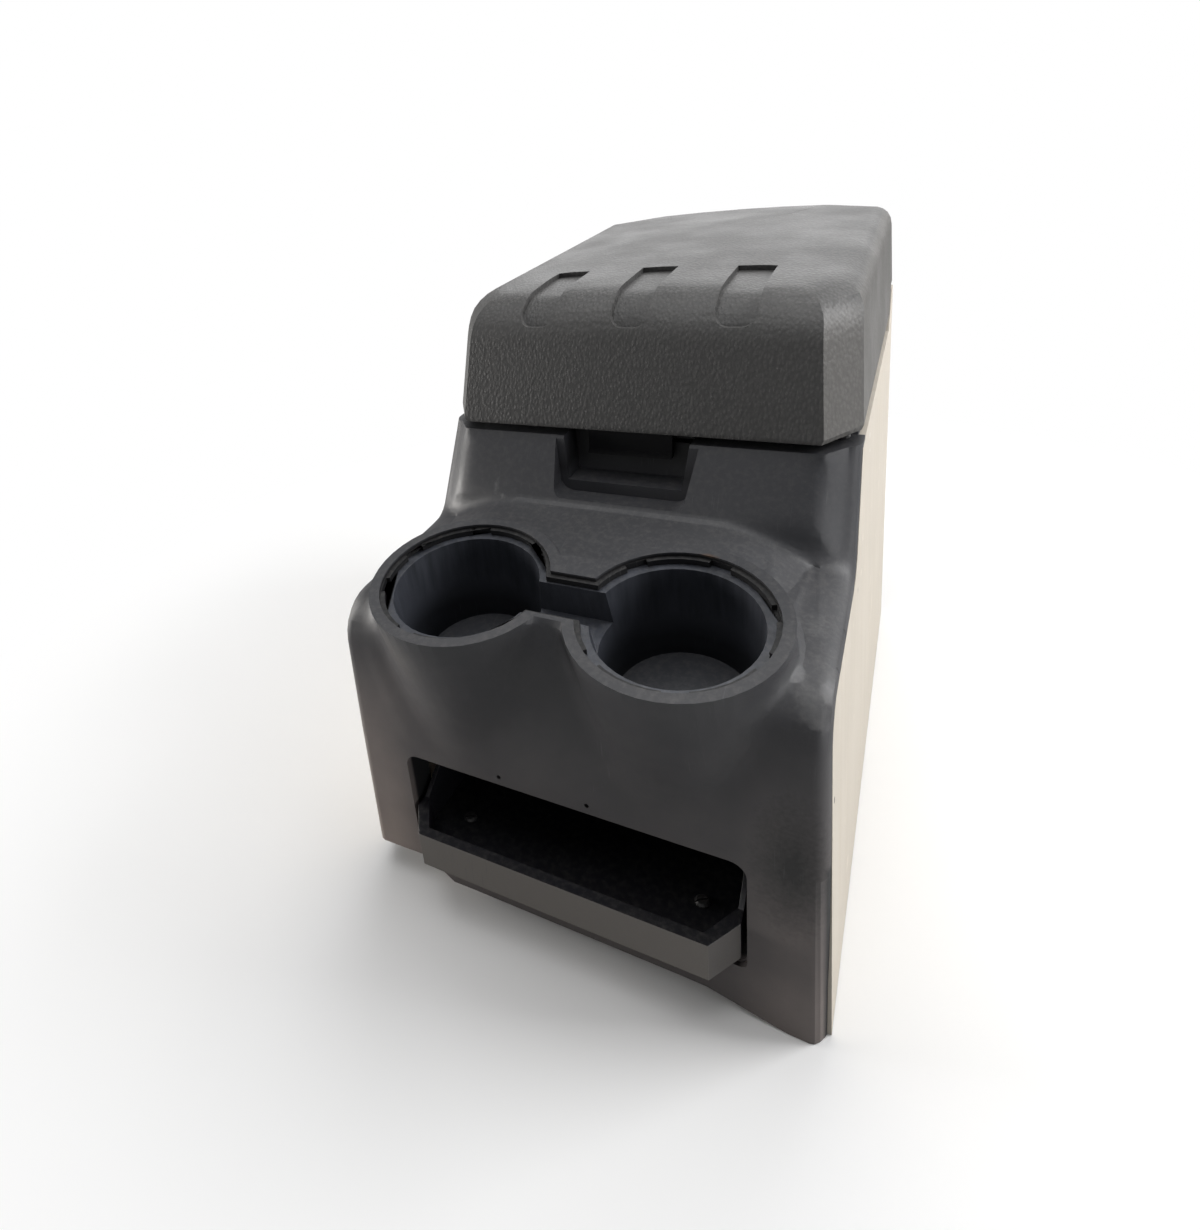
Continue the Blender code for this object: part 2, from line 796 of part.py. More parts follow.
def screw(name, point, direction, length=SCREW_LENGTH, surface=steel):
    """A pan head with one slot; the point lies under the head."""
    turn = Vector((0, 0, 1)).rotation_difference(Vector(direction)).to_matrix().to_4x4()
    matrix = Matrix.Translation(point) @ turn
    dome = SCREW_HEAD_RADIUS * 0.7
    profile = [
        (0, SCREW_HEAD_HEIGHT),
        (dome, SCREW_HEAD_HEIGHT),
        (SCREW_HEAD_RADIUS, SCREW_HEAD_HEIGHT / 2),
        (SCREW_HEAD_RADIUS, 0),
        (SCREW_RADIUS, 0),
        (SCREW_RADIUS, -length),
        (0, -length),
    ]
    head = turned(name + "_head", profile, matrix, SCREW_STEPS)
    slot = block(
        name + "_slot",
        (-SCREW_HEAD_RADIUS * 2, SCREW_HEAD_RADIUS * 2),
        (-SCREW_SLOT / 2, SCREW_SLOT / 2),
        (SCREW_HEAD_HEIGHT * 0.5, SCREW_HEAD_HEIGHT * 2),
    )
    slot.data.transform(matrix @ Matrix.Rotation(0.6, 4, "Z"))
    cut(head, slot)
    return settle(head, name, surface)


def screw_hole(name, point, direction, length=SCREW_LENGTH):
    """Room for a screw's shank, with a clearance all round."""
    turn = Vector((0, 0, 1)).rotation_difference(Vector(direction)).to_matrix().to_4x4()
    matrix = Matrix.Translation(point) @ turn
    radius = SCREW_RADIUS + GAP
    profile = [(0, 0.004), (radius, 0.004), (radius, -length - GAP), (0, -length - GAP)]
    return turned(name, profile, matrix, SCREW_STEPS)


# Lower tray


def tray_side(lip_y, back_y, low_z, grow):
    """Side view of the tray: a low lip in front and a high back."""
    return [
        (lip_y, low_z),
        (lip_y, TRAY_LIP_Z + grow),
        (TRAY_CORNER_Y + 0.006, TRAY_LIP_Z + grow),
        (TRAY_CORNER_Y + 0.060, TRAY_BACK_Z + grow),
        (back_y, TRAY_BACK_Z + grow),
        (back_y, low_z),
    ]


def tray_plan(half, lip_half, lip_y, back_y):
    return [
        (-lip_half, lip_y),
        (lip_half, lip_y),
        (half, lip_y + (TRAY_CORNER_Y - TRAY_LIP_Y)),
        (half, back_y),
        (-half, back_y),
        (-half, lip_y + (TRAY_CORNER_Y - TRAY_LIP_Y)),
    ]


tray = prism_x(
    "tray_block", tray_side(TRAY_LIP_Y, TRAY_BACK_Y, TRAY_LOW_Z, 0.0), -TRAY_HALF, TRAY_HALF
)
tray_plan_block = prism_z(
    "tray_plan",
    tray_plan(TRAY_HALF + 0.001, TRAY_LIP_HALF, TRAY_LIP_Y - 0.001, TRAY_BACK_Y + 0.02),
    TRAY_LOW_Z - 0.01,
    TRAY_BACK_Z + 0.01,
)
boolean(tray, tray_plan_block, "INTERSECT")
tray_floor_z = TRAY_LOW_Z + TRAY_FLOOR
tray_room = prism_z(
    "tray_room",
    tray_plan(
        TRAY_HALF - TRAY_WALL,
        TRAY_LIP_HALF - TRAY_WALL,
        TRAY_LIP_Y + TRAY_LIP_THICKNESS,
        TRAY_BACK_Y - TRAY_WALL,
    ),
    tray_floor_z,
    TRAY_BACK_Z + 0.02,
)
cut(tray, tray_room)
tray_screw_at = [(side * TRAY_SCREW_X, TRAY_SCREW_Y, tray_floor_z + GAP) for side in (-1, 1)]
for point in tray_screw_at:
    cut(tray, screw_hole("tray_screw_hole", point, (0, 0, 1)))
lower_tray = settle(tray, "lower_tray", front_plastic)
for point, word in zip(tray_screw_at, ("left", "right")):
    screw("tray_screw_" + word, point, (0, 0, 1), surface=black_steel)


# Carrier body


def rear_y(z):
    return REAR_BASE_Y + REAR_LEAN * z


def body_block(name, inset, side_inset, low, front_pull):
    """The body behind the front moulding, with a raised hump at the rear."""
    path = end_at(inset_path(rounded(flank_corners()), SIDE_RETURN + SEAM), BODY_TOP_Z, 0.0)
    front_side = [(point.x - front_pull, point.y) for point in path]
    if front_pull > 0:
        clear_y = MIDDLE_BELLY[0] - 0.13
        front_side = [(clear_y, BODY_TOP_Z), (clear_y, 0.0)]
    front_side = [(y, BODY_TOP_Z - inset if z == BODY_TOP_Z else z) for y, z in front_side]
    front_side = [(y, low if z == 0.0 else z) for y, z in front_side]
    hump = HUMP_Z - inset
    outline = front_side + [
        (rear_y(low) - inset, low),
        (rear_y(hump) - inset, hump),
        (HUMP_TOP_Y + inset * 0.3, hump),
        (HUMP_START_Y + inset * 0.3, BODY_TOP_Z - inset),
    ]
    half = BASE_HALF_WIDTH - side_inset
    rings = []
    for side in (-1, 1):
        rings.append([(side * (half - SIDE_DRAFT * z), y, z) for y, z in outline])
    return place(name, stack(rings), helper=True)


body = body_block("body_outer", 0.0, 0.0, 0.0, 0.0)
body_room = body_block("body_room", BODY_WALL, BODY_WALL, BODY_WALL, 0.1)
top_opening = block(
    "bin_opening",
    (-BIN_HALF - 0.002, BIN_HALF + 0.002),
    (MIDDLE_BELLY[0] - 0.03, BIN_BACK_Y + 0.003),
    (BODY_TOP_Z - 0.02, BODY_TOP_Z + 0.02),
)
cut(body, body_room, top_opening)
for side, word in ((-1, "left"), (1, "right")):
    pedestal = block(
        "pedestal_" + word,
        (side * TRAY_SCREW_X - PEDESTAL_HALF, side * TRAY_SCREW_X + PEDESTAL_HALF),
        (TRAY_SCREW_Y - PEDESTAL_HALF, TRAY_SCREW_Y - PEDESTAL_HALF + PEDESTAL_LENGTH),
        (BODY_WALL * 0.5, TRAY_LOW_Z - GAP),
    )
    join(body, pedestal)
for point in tray_screw_at:
    cut(body, screw_hole("pedestal_screw_hole", point, (0, 0, 1)))
for x in (-BASE_HOLE_X, BASE_HOLE_X):
    for y in BASE_HOLE_Y:
        hole = turned(
            "base_hole",
            [
                (0, BODY_WALL * 2),
                (BASE_HOLE_RADIUS, BODY_WALL * 2),
                (BASE_HOLE_RADIUS, -BODY_WALL),
                (0, -BODY_WALL),
            ],
            Matrix.Translation((x, y, 0)),
            SMALL_STEPS,
        )
        cut(body, hole)
cut(body, foot_arch)


# Storage bin


def bin_outline(half, front_y, back_y, corner):
    return rounded_loop(
        [
            (-half, front_y, corner),
            (half, front_y, corner),
            (half, back_y, corner),
            (-half, back_y, corner),
        ],
        3,
    )


def bin_solid(name, wall, top, low):
    """A bin with draft: its outline shrinks towards the floor."""
    rings = []
    for z, pull in ((top, 0.0), (low, BIN_DRAFT)):
        corner = BIN_CORNER - wall
        grow = -wall - pull
        plan = bin_outline(BIN_HALF + grow, BIN_FRONT_Y - grow, BIN_BACK_Y + grow, corner)
        rings.append([(x, y, z) for x, y in plan])
    return place(name, stack(rings), helper=True)


liner = bin_solid("bin_outer", 0.0, DECK_Z - 0.0005, BIN_FLOOR_Z - BIN_WALL)
flange = prism_z(
    "bin_flange",
    rounded_loop(
        [
            (-BIN_FLANGE_HALF, TOP_FLANGE_REAR_Y + SEAM, 0),
            (BIN_FLANGE_HALF, TOP_FLANGE_REAR_Y + SEAM, 0),
            (BIN_FLANGE_HALF, BIN_FLANGE_BACK_Y, 0),
            (-BIN_FLANGE_HALF, BIN_FLANGE_BACK_Y, 0),
        ]
    ),
    DECK_Z - BIN_FLANGE,
    DECK_Z,
)
join(liner, flange)
cut(liner, bin_solid("bin_room", BIN_WALL, DECK_Z + 0.005, BIN_FLOOR_Z))
bin_liner = settle(liner, "bin_liner", black_plastic)


# Lid


def lid_outline(z, inset):
    """Plan of the lid at one level, drawn in by an inset and by its rounded edges."""

    def roll(radius, from_top):
        inner = max(radius - inset, 0.001)
        depth = max(inner - from_top, 0.0)
        return inner - math.sqrt(max(inner * inner - depth * depth, 0.0))

    from_top = (LID_TOP_Z - inset) - z
    low = max(LID_LOW_ROUND - (z - LID_LOW_Z), 0.0)
    low_roll = LID_LOW_ROUND - math.sqrt(max(LID_LOW_ROUND**2 - low * low, 0.0))
    if inset > 0:
        low_roll = 0.0
    up = z - LID_LOW_Z
    front = LID_FRONT_Y + LID_LEAN * up + inset + roll(LID_FRONT_ROUND, from_top) + low_roll
    side = LID_HALF_WIDTH - LID_DRAFT * up - inset - roll(LID_SIDE_ROUND, from_top) - low_roll
    back = LID_BACK_Y - inset - roll(LID_BACK_ROUND, from_top) - low_roll
    facet_x = LID_FACET_X - inset * 0.3
    facet_y = LID_FACET_Y - inset * 0.3
    back_x = LID_BACK_FACET_X - inset * 0.4
    back_y = LID_BACK_FACET_Y - inset * 0.4
    points = [
        (0.0, front),
        (side - facet_x, front),
        (side, front + facet_y),
        (side, back - back_y - LID_BOW),
        (side - back_x, back - LID_BOW),
        ((side - back_x) * 0.5, back - LID_BOW * 0.25),
        (0.0, back),
    ]
    mirrored = [(-x, y) for x, y in reversed(points[1:-1])]
    return points + mirrored


def lid_tilt(x, y):
    """The top climbs to the back, and its front corners fall away to the sides."""
    along = (y - LID_FRONT_Y) / (LID_BACK_Y - LID_FRONT_Y)
    across = x / LID_HALF_WIDTH
    return LID_RISE * along - LID_SIDE_FALL * (1 - along) * across * across


def lid_solid(name, inset, low, crown):
    """Stacked outlines from the lower edge to a crowned top."""
    top = LID_TOP_Z - inset
    levels = [low]
    if inset == 0.0:
        levels += [LID_LOW_Z + LID_LOW_ROUND * share for share in (0.3, 1.0)]
    for k in range(8):
        angle = math.pi / 2 * k / 7
        levels.append(top - (LID_FRONT_ROUND - inset) * (1 - math.sin(angle)))
    rings = [[(x, y, z) for x, y in lid_outline(z, inset)] for z in levels]
    centre_y = (LID_FRONT_Y + LID_BACK_Y) / 2
    rim = rings[-1]
    for scale in (0.85, 0.5):
        rise = crown * (1 - scale * scale)
        rings.append([(x * scale, centre_y + (y - centre_y) * scale, z + rise) for x, y, z in rim])
    height = LID_TOP_Z - LID_LOW_Z
    for ring in rings:
        for i, (x, y, z) in enumerate(ring):
            share = max(z - LID_LOW_Z, 0.0) / height
            ring[i] = (x, y, z + share * lid_tilt(x, y))
    return place(name, stack(rings), helper=True)


lid = lid_solid("lid_outer", 0.0, LID_LOW_Z, LID_CROWN)
lid_room = lid_solid("lid_room", LID_WALL, LID_LOW_Z - 0.01, LID_CROWN)
under_step = prism_x(
    "lid_under_step",
    [
        (LID_STEP_Y, LID_LOW_Z - 0.02),
        (LID_STEP_Y, LID_LOW_Z),
        (LID_STEP_TOP_Y, LID_STEP_Z),
        (LID_BACK_Y + 0.02, LID_STEP_Z),
        (LID_BACK_Y + 0.02, LID_LOW_Z - 0.02),
    ],
    -LID_HALF_WIDTH - 0.05,
    LID_HALF_WIDTH + 0.05,
)
groove_base = lid_solid("groove_base", GROOVE_DEPTH, LID_LOW_Z - 0.005, LID_CROWN)
grooves = []
for k in (-1, 0, 1):
    centre = k * GROOVE_X
    front_view = rounded_loop(
        [
            (centre - GROOVE_WIDTH / 2, GROOVE_LOW_Z, GROOVE_ROUND),
            (centre + GROOVE_WIDTH / 2, GROOVE_LOW_Z, GROOVE_ROUND),
            (centre + GROOVE_WIDTH / 2, LID_TOP_Z + 0.02, 0),
            (centre - GROOVE_WIDTH / 2, LID_TOP_Z + 0.02, 0),
        ]
    )
    groove = prism_y("groove_" + str(k + 2), front_view, LID_FRONT_Y - 0.01, GROOVE_BACK_Y)
    grooves.append(cut(groove, groove_base))
cut(lid, lid_room, under_step, *grooves)


def post(name, x, y, low, high, radius):
    """An upright round post."""
    profile = [(0, high), (radius, high), (radius, low), (0, low)]
    return turned(name, profile, Matrix.Translation((x, y, 0)), SMALL_STEPS)


def step_height(y):
    """How far the panel and the rim rise over the hump at the rear."""
    share = (y - LID_STEP_Y) / (LID_STEP_TOP_Y - LID_STEP_Y)
    return (LID_STEP_Z - LID_LOW_Z) * min(max(share, 0.0), 1.0)


panel_screws = []
for y in PANEL_SCREW_Y:
    for x in (-PANEL_SCREW_X, PANEL_SCREW_X):
        panel_screws.append((x, y, PANEL_Z - GAP))
hinge_plate_z = PANEL_Z + (LID_STEP_Z - LID_LOW_Z) - GAP - HINGE_LEAF
hinge_lid_screws = [
    (x, HINGE_LID_SCREW_Y, hinge_plate_z - GAP) for x in (-HINGE_SCREW_X, HINGE_SCREW_X)
]


def roof_middle(x, y):
    """Height of the middle of the lid's top wall."""
    middle = (LID_FRONT_Y + LID_BACK_Y) / 2
    half = (LID_BACK_Y - LID_FRONT_Y) / 2
    scale = max(abs(x) / LID_HALF_WIDTH, abs(y - middle) / half)
    return LID_TOP_Z - LID_WALL / 2 + lid_tilt(x, y) + LID_CROWN * (1 - scale * scale)


for x, y, z in panel_screws + hinge_lid_screws:
    low = PANEL_Z + step_height(y) + PANEL_THICKNESS + GAP
    join(lid, post("lid_boss", x, y, low, roof_middle(x, y), BOSS_RADIUS))
for point in panel_screws + hinge_lid_screws:
    cut(lid, screw_hole("lid_boss_hole", point, (0, 0, -1)))
lid_cover = settle(lid, "lid_cover", lid_vinyl, 30)


# Lid inner panel with the ears that carry the latch

panel_rise = LID_STEP_Z - LID_LOW_Z
panel = prism_x(
    "panel_band",
    [
        (LID_FRONT_Y - 0.02, PANEL_Z),
        (LID_STEP_Y, PANEL_Z),
        (LID_STEP_TOP_Y, PANEL_Z + panel_rise),
        (LID_BACK_Y + 0.02, PANEL_Z + panel_rise),
        (LID_BACK_Y + 0.02, PANEL_Z + panel_rise + PANEL_THICKNESS),
        (LID_STEP_TOP_Y - 0.001, PANEL_Z + panel_rise + PANEL_THICKNESS),
        (LID_STEP_Y - 0.001, PANEL_Z + PANEL_THICKNESS),
        (LID_FRONT_Y - 0.02, PANEL_Z + PANEL_THICKNESS),
    ],
    -LID_HALF_WIDTH - 0.05,
    LID_HALF_WIDTH + 0.05,
)
panel_limit = lid_solid("panel_limit", LID_WALL + PANEL_EDGE_GAP, LID_LOW_Z - 0.01, LID_CROWN)
boolean(panel, panel_limit, "INTERSECT")
ear_x = LATCH_HALF + LATCH_EAR_ROOM
for side, word in ((-1, "left"), (1, "right")):
    near, far = sorted((side * ear_x, side * (ear_x + LATCH_EAR)))
    ear = prism_x(
        "latch_ear_" + word,
        [
            (LATCH_Y - LATCH_EYE_RADIUS, PANEL_Z + 0.001),
            (LATCH_Y - LATCH_EYE_RADIUS, LATCH_Z - LATCH_EYE_RADIUS),
            (LATCH_Y + LATCH_EYE_RADIUS, LATCH_Z - LATCH_EYE_RADIUS),
            (LATCH_Y + LATCH_EYE_RADIUS + 0.004, PANEL_Z + 0.001),
        ],
        near,
        far,
    )
    join(panel, ear)


def rod_x(name, radius, y, z, x0, x1, steps=SMALL_STEPS, turn=0.0):
    """A round rod along X, its first flat turned by this angle."""
    matrix = Matrix.Translation((0, y, z)) @ Matrix.Rotation(math.pi / 2, 4, "Y")
    matrix = matrix @ Matrix.Rotation(turn, 4, "Z")
    profile = [(0, x1), (radius, x1), (radius, x0), (0, x0)]
    return turned(name, profile, matrix, steps)


half_flat = math.pi / SMALL_STEPS
pin_bore = LATCH_PIN_RADIUS + LATCH_BORE_GAP
ear_bore_half = ear_x + LATCH_EAR + 0.01
cut(
    panel,
    rod_x("ear_bore", pin_bore, LATCH_Y, LATCH_Z, -ear_bore_half, ear_bore_half, turn=half_flat),
)
for point in panel_screws + hinge_lid_screws:
    cut(panel, screw_hole("panel_hole", point, (0, 0, -1)))
lid_panel = settle(panel, "lid_panel", black_plastic)
for number, point in enumerate(panel_screws, 1):
    screw("panel_screw_" + str(number), point, (0, 0, -1))


# Hinge

wall_normal = Vector((0, 1, -REAR_LEAN)).normalized()
knuckle_end = HINGE_HALF
knuckle_step = 2 * HINGE_HALF / 5


def knuckle(name, index):
    low = -HINGE_HALF + index * knuckle_step + GAP / 2
    high = low + knuckle_step - GAP
    return rod_x(name, HINGE_KNUCKLE_RADIUS, HINGE_Y, HINGE_Z, low, high), low, high


hinge_bore_radius = HINGE_PIN_RADIUS + GAP
bore_half = HINGE_HALF + 0.015
leaf_low = HINGE_Z - HINGE_LEAF_DROP
seat = GAP / wall_normal.y
leaf_out = (GAP + HINGE_LEAF) / wall_normal.y
body_leaf = prism_x(
    "body_leaf_plate",
    [
        (rear_y(leaf_low) + seat, leaf_low),
        (rear_y(HINGE_Z) + seat, HINGE_Z),
        (rear_y(HINGE_Z) + leaf_out, HINGE_Z),
        (rear_y(leaf_low) + leaf_out, leaf_low),
    ],
    -HINGE_HALF,
    HINGE_HALF,
)
for index in (1, 3):
    roll, low, high = knuckle("body_knuckle", index)
    join(body_leaf, roll)
for index in (0, 2, 4):
    clear, low, high = knuckle("body_clear", index)
    room = block(
        "knuckle_room",
        (low - 0.8 * GAP, high + 0.8 * GAP),
        (HINGE_Y - HINGE_KNUCKLE_RADIUS - 0.004, HINGE_Y + 0.01),
        (HINGE_Z - HINGE_KNUCKLE_RADIUS - 0.001, HINGE_Z + 0.01),
    )
    cut(body_leaf, room)
cut(
    body_leaf,
    rod_x("hinge_bore", hinge_bore_radius, HINGE_Y, HINGE_Z, -bore_half, bore_half, turn=half_flat),
)
body_screw_z = leaf_low + 0.010
body_screw_y = rear_y(body_screw_z) + leaf_out + GAP / wall_normal.y
hinge_body_screws = [(x, body_screw_y, body_screw_z) for x in (-HINGE_SCREW_X, HINGE_SCREW_X)]
for point in hinge_body_screws:
    cut(body_leaf, screw_hole("body_leaf_hole", point, wall_normal, HINGE_SCREW_LENGTH))
hinge_leaf_body = settle(body_leaf, "hinge_leaf_body", steel)

lid_leaf = block(
    "lid_leaf_plate",
    (-HINGE_HALF, HINGE_HALF),
    (HINGE_Y - HINGE_KNUCKLE_RADIUS + HINGE_LEAF, HINGE_Y + HINGE_LEAF_REACH),
    (hinge_plate_z, hinge_plate_z + HINGE_LEAF),
)
for index in (0, 2, 4):
    roll, low, high = knuckle("lid_knuckle", index)
    web = block(
        "lid_web",
        (low, high),
        (HINGE_Y - HINGE_LEAF, HINGE_Y + HINGE_LEAF),
        (HINGE_Z, hinge_plate_z + HINGE_LEAF / 2),
    )
    join(lid_leaf, web, roll)
cut(
    lid_leaf,
    rod_x("lid_hinge_bore", hinge_bore_radius, HINGE_Y, HINGE_Z, -bore_half, bore_half, turn=half_flat),
)
for point in hinge_lid_screws:
    cut(lid_leaf, screw_hole("lid_leaf_hole", point, (0, 0, -1)))
hinge_leaf_lid = settle(lid_leaf, "hinge_leaf_lid", steel)
hinge_pin = settle(
    rod_x("pin", HINGE_PIN_RADIUS, HINGE_Y, HINGE_Z, -HINGE_HALF - 0.002, HINGE_HALF + 0.002),
    "hinge_pin",
    steel,
)
for point, word in zip(hinge_lid_screws, ("left", "right")):
    screw("hinge_lid_screw_" + word, point, (0, 0, -1))
for point, word in zip(hinge_body_screws, ("left", "right")):
    screw("hinge_body_screw_" + word, point, wall_normal, HINGE_SCREW_LENGTH)
    cut(body, screw_hole("body_rear_hole", point, wall_normal, HINGE_SCREW_LENGTH))


# Fixing of the front moulding to the body, below the lid

front_screws = [(x, FRONT_SCREW_Y, DECK_Z + GAP) for x in (-FRONT_SCREW_X, FRONT_SCREW_X)]
for side, word in ((-1, "left"), (1, "right")):
    near, far = sorted((side * (FRONT_SCREW_X - 0.006), side * (FRONT_SCREW_X + 0.0095)))
    boss = block(
        "front_boss_" + word,
        (near, far),
        (FRONT_SCREW_Y - 0.005, FRONT_SCREW_Y + 0.005),
        (DECK_Z - 0.020, BODY_TOP_Z),
    )
    join(body, boss)
for point in front_screws:
    cut(body, screw_hole("front_boss_hole", point, (0, 0, 1)))
    cut(front, screw_hole("front_hole", point, (0, 0, 1)))
for point, word in zip(front_screws, ("left", "right")):
    screw("front_screw_" + word, point, (0, 0, 1))
fascia = settle(front, "fascia", front_plastic)
carrier_body = settle(body, "carrier_body", pale_plastic)


# Latch

paddle = rod_x("latch_eye", LATCH_EYE_RADIUS, LATCH_Y, LATCH_Z, -LATCH_HALF, LATCH_HALF)
plate = prism_x(
    "latch_plate",
    [
        (LATCH_Y - LATCH_EYE_RADIUS, LATCH_Z),
        (LATCH_Y - LATCH_EYE_RADIUS - 0.001, LATCH_LOW_Z + 0.003),
        (LATCH_Y - LATCH_EYE_RADIUS - 0.004, LATCH_LOW_Z),
        (LATCH_Y - LATCH_EYE_RADIUS + LATCH_PLATE - 0.001, LATCH_LOW_Z),
        (LATCH_Y - LATCH_EYE_RADIUS + LATCH_PLATE, LATCH_LOW_Z + 0.004),
        (LATCH_Y - LATCH_EYE_RADIUS + LATCH_PLATE, LATCH_Z),
    ],
    -LATCH_HALF + 0.0005,
    LATCH_HALF - 0.0005,
)
nose_y = STRIKER_Y - STRIKER_WIRE / 2 - GAP
hook = prism_x(
    "latch_hook",
    [
        (LATCH_Y, LATCH_Z + 0.001),
        (LATCH_Y, LATCH_Z - 0.0035),
        (nose_y - 0.001, STRIKER_Z - 0.003),
        (nose_y, STRIKER_Z - 0.0015),
        (nose_y, STRIKER_Z + 0.0005),
        (nose_y - 0.003, LATCH_Z + 0.001),
    ],
    -LATCH_HOOK_HALF,
    LATCH_HOOK_HALF,
)
join(paddle, plate, hook)
paddle_bore_half = LATCH_HALF + 0.02
cut(
    paddle,
    rod_x(
        "latch_bore",
        pin_bore,
        LATCH_Y,
        LATCH_Z,
        -paddle_bore_half,
        paddle_bore_half,
        turn=half_flat,
    ),
)
latch_paddle = settle(paddle, "latch_paddle", black_plastic)
pin_end = ear_x + LATCH_EAR + 0.001
latch_pin = settle(
    rod_x("latch_rod", LATCH_PIN_RADIUS, LATCH_Y, LATCH_Z, -pin_end, pin_end), "latch_pin", steel
)

coil = bpy.data.curves.new("coil", "CURVE")
coil.dimensions = "3D"
coil.bevel_depth = SPRING_WIRE
coil.bevel_resolution = 1
coil.use_fill_caps = True
line = coil.splines.new("POLY")
coil_radius = LATCH_PIN_RADIUS + SPRING_WIRE + 2 * GAP
coil_steps = SPRING_TURNS * 12
line.points.add(coil_steps)
coil_low = LATCH_HALF + SPRING_WIRE + 2 * GAP
coil_high = ear_x - SPRING_WIRE - GAP
for k, point in enumerate(line.points):
    share = k / coil_steps
    angle = share * SPRING_TURNS * 2 * math.pi
    point.co = (
        coil_low + (coil_high - coil_low) * share,
        LATCH_Y + coil_radius * math.sin(angle),
        LATCH_Z + coil_radius * math.cos(angle),
        1.0,
    )
coil_object = bpy.data.objects.new("coil", coil)
coil_object.hide_render = True
cutters.objects.link(coil_object)
latch_spring = settle(coil_object, "latch_spring", steel)

striker_bar = rod_x(
    "striker_bar",
    STRIKER_WIRE / 2,
    STRIKER_Y,
    STRIKER_Z,
    -STRIKER_HALF - STRIKER_WIRE,
    STRIKER_HALF + STRIKER_WIRE,
    12,
)
for x in (-STRIKER_HALF, STRIKER_HALF):
    foot = block(
        "striker_foot",
        (x - STRIKER_FOOT, x + STRIKER_FOOT),
        (STRIKER_Y - STRIKER_FOOT, STRIKER_Y + STRIKER_FOOT),
        (DECK_Z + GAP, DECK_Z + GAP + 0.0012),
    )
    leg = block(
        "striker_leg",
        (x - STRIKER_WIRE / 2, x + STRIKER_WIRE / 2),
        (STRIKER_Y - STRIKER_WIRE / 2, STRIKER_Y + STRIKER_WIRE / 2),
        (DECK_Z + GAP + 0.0006, STRIKER_Z + STRIKER_WIRE / 2 + 0.0004),
    )
    join(striker_bar, leg, foot)
striker = settle(striker_bar, "striker", steel)


# Rubber stops under the lid

for side, word in ((-1, "left"), (1, "right")):
    stop = post(
        "stop_" + word, side * BUMPER_X, BUMPER_Y, DECK_Z + GAP, PANEL_Z - GAP, BUMPER_RADIUS
    )
    settle(stop, "lid_stop_" + word, rubber)


# Joint axes: each moving piece hangs from an empty on its own axis


def axis_empty(name, point, parent=None):
    empty = bpy.data.objects.new(name, None)
    empty.empty_display_size = 0.02
    empty.location = point
    model.objects.link(empty)
    if parent:
        empty.parent = parent
        empty.location = Vector(point) - parent.location
    return empty


def hang(empty, point, pieces):
    """Parent the pieces to the empty and leave them where they are."""
    for name in pieces:
        piece = bpy.data.objects[name]
        piece.parent = empty
        piece.matrix_parent_inverse = Matrix.Translation(point).inverted()


lid_axis = axis_empty("lid_axis", (0, HINGE_Y, HINGE_Z))
latch_axis = axis_empty("latch_axis", (0, LATCH_Y, LATCH_Z), lid_axis)
lid_pieces = ["lid_cover", "lid_panel", "hinge_leaf_lid", "latch_pin", "latch_spring"]
lid_pieces += ["panel_screw_" + str(number) for number in range(1, len(panel_screws) + 1)]
lid_pieces += ["hinge_lid_screw_left", "hinge_lid_screw_right"]
hang(lid_axis, (0, HINGE_Y, HINGE_Z), lid_pieces)
hang(latch_axis, (0, LATCH_Y, LATCH_Z), ["latch_paddle"])
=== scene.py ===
# %% [markdown]
# # Car center console
#
# The console is a floor box for a van: a dark front moulding with two cup wells, a storage bin under a
# hinged lid, a tray near the floor and a pale body behind. The solid pieces come in ready made as the
# frame. Here the front gets its soft form, and all get plastics with grain and wear, light and a camera.

# %% Load the frame
import json
import math

import bmesh
import bpy
from mathutils import Matrix, Vector
from mathutils.bvhtree import BVHTree


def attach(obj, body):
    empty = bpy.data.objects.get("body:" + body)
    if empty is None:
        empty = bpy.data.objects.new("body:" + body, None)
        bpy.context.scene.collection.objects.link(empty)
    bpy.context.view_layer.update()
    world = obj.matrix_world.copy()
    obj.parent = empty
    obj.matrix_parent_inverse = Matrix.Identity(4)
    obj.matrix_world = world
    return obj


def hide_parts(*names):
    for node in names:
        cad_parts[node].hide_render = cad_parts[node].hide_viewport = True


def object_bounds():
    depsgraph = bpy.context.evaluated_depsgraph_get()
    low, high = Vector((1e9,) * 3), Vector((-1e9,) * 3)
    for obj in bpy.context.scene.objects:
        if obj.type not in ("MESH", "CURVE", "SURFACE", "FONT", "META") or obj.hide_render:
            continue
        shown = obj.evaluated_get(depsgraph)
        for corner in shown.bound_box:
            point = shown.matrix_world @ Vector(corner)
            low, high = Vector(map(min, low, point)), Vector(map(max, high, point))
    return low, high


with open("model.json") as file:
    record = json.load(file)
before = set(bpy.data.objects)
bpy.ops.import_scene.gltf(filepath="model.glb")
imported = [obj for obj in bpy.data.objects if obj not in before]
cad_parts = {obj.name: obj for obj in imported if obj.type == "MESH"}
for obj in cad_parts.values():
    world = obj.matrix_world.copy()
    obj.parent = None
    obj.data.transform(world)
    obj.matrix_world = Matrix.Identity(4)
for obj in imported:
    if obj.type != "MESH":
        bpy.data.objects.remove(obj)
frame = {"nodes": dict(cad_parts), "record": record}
cad_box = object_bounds()
print("size in mm", [round(1000 * (b - a)) for a, b in zip(*cad_box)])

# %% [markdown]
# ## Camera
#
# The photograph was taken from the front right, a little above the lid. Its straight edges gave the
# place and the turn of the camera, so both are written here as numbers. The lens is shifted because the
# photograph is a crop whose middle isn't where the lens pointed.

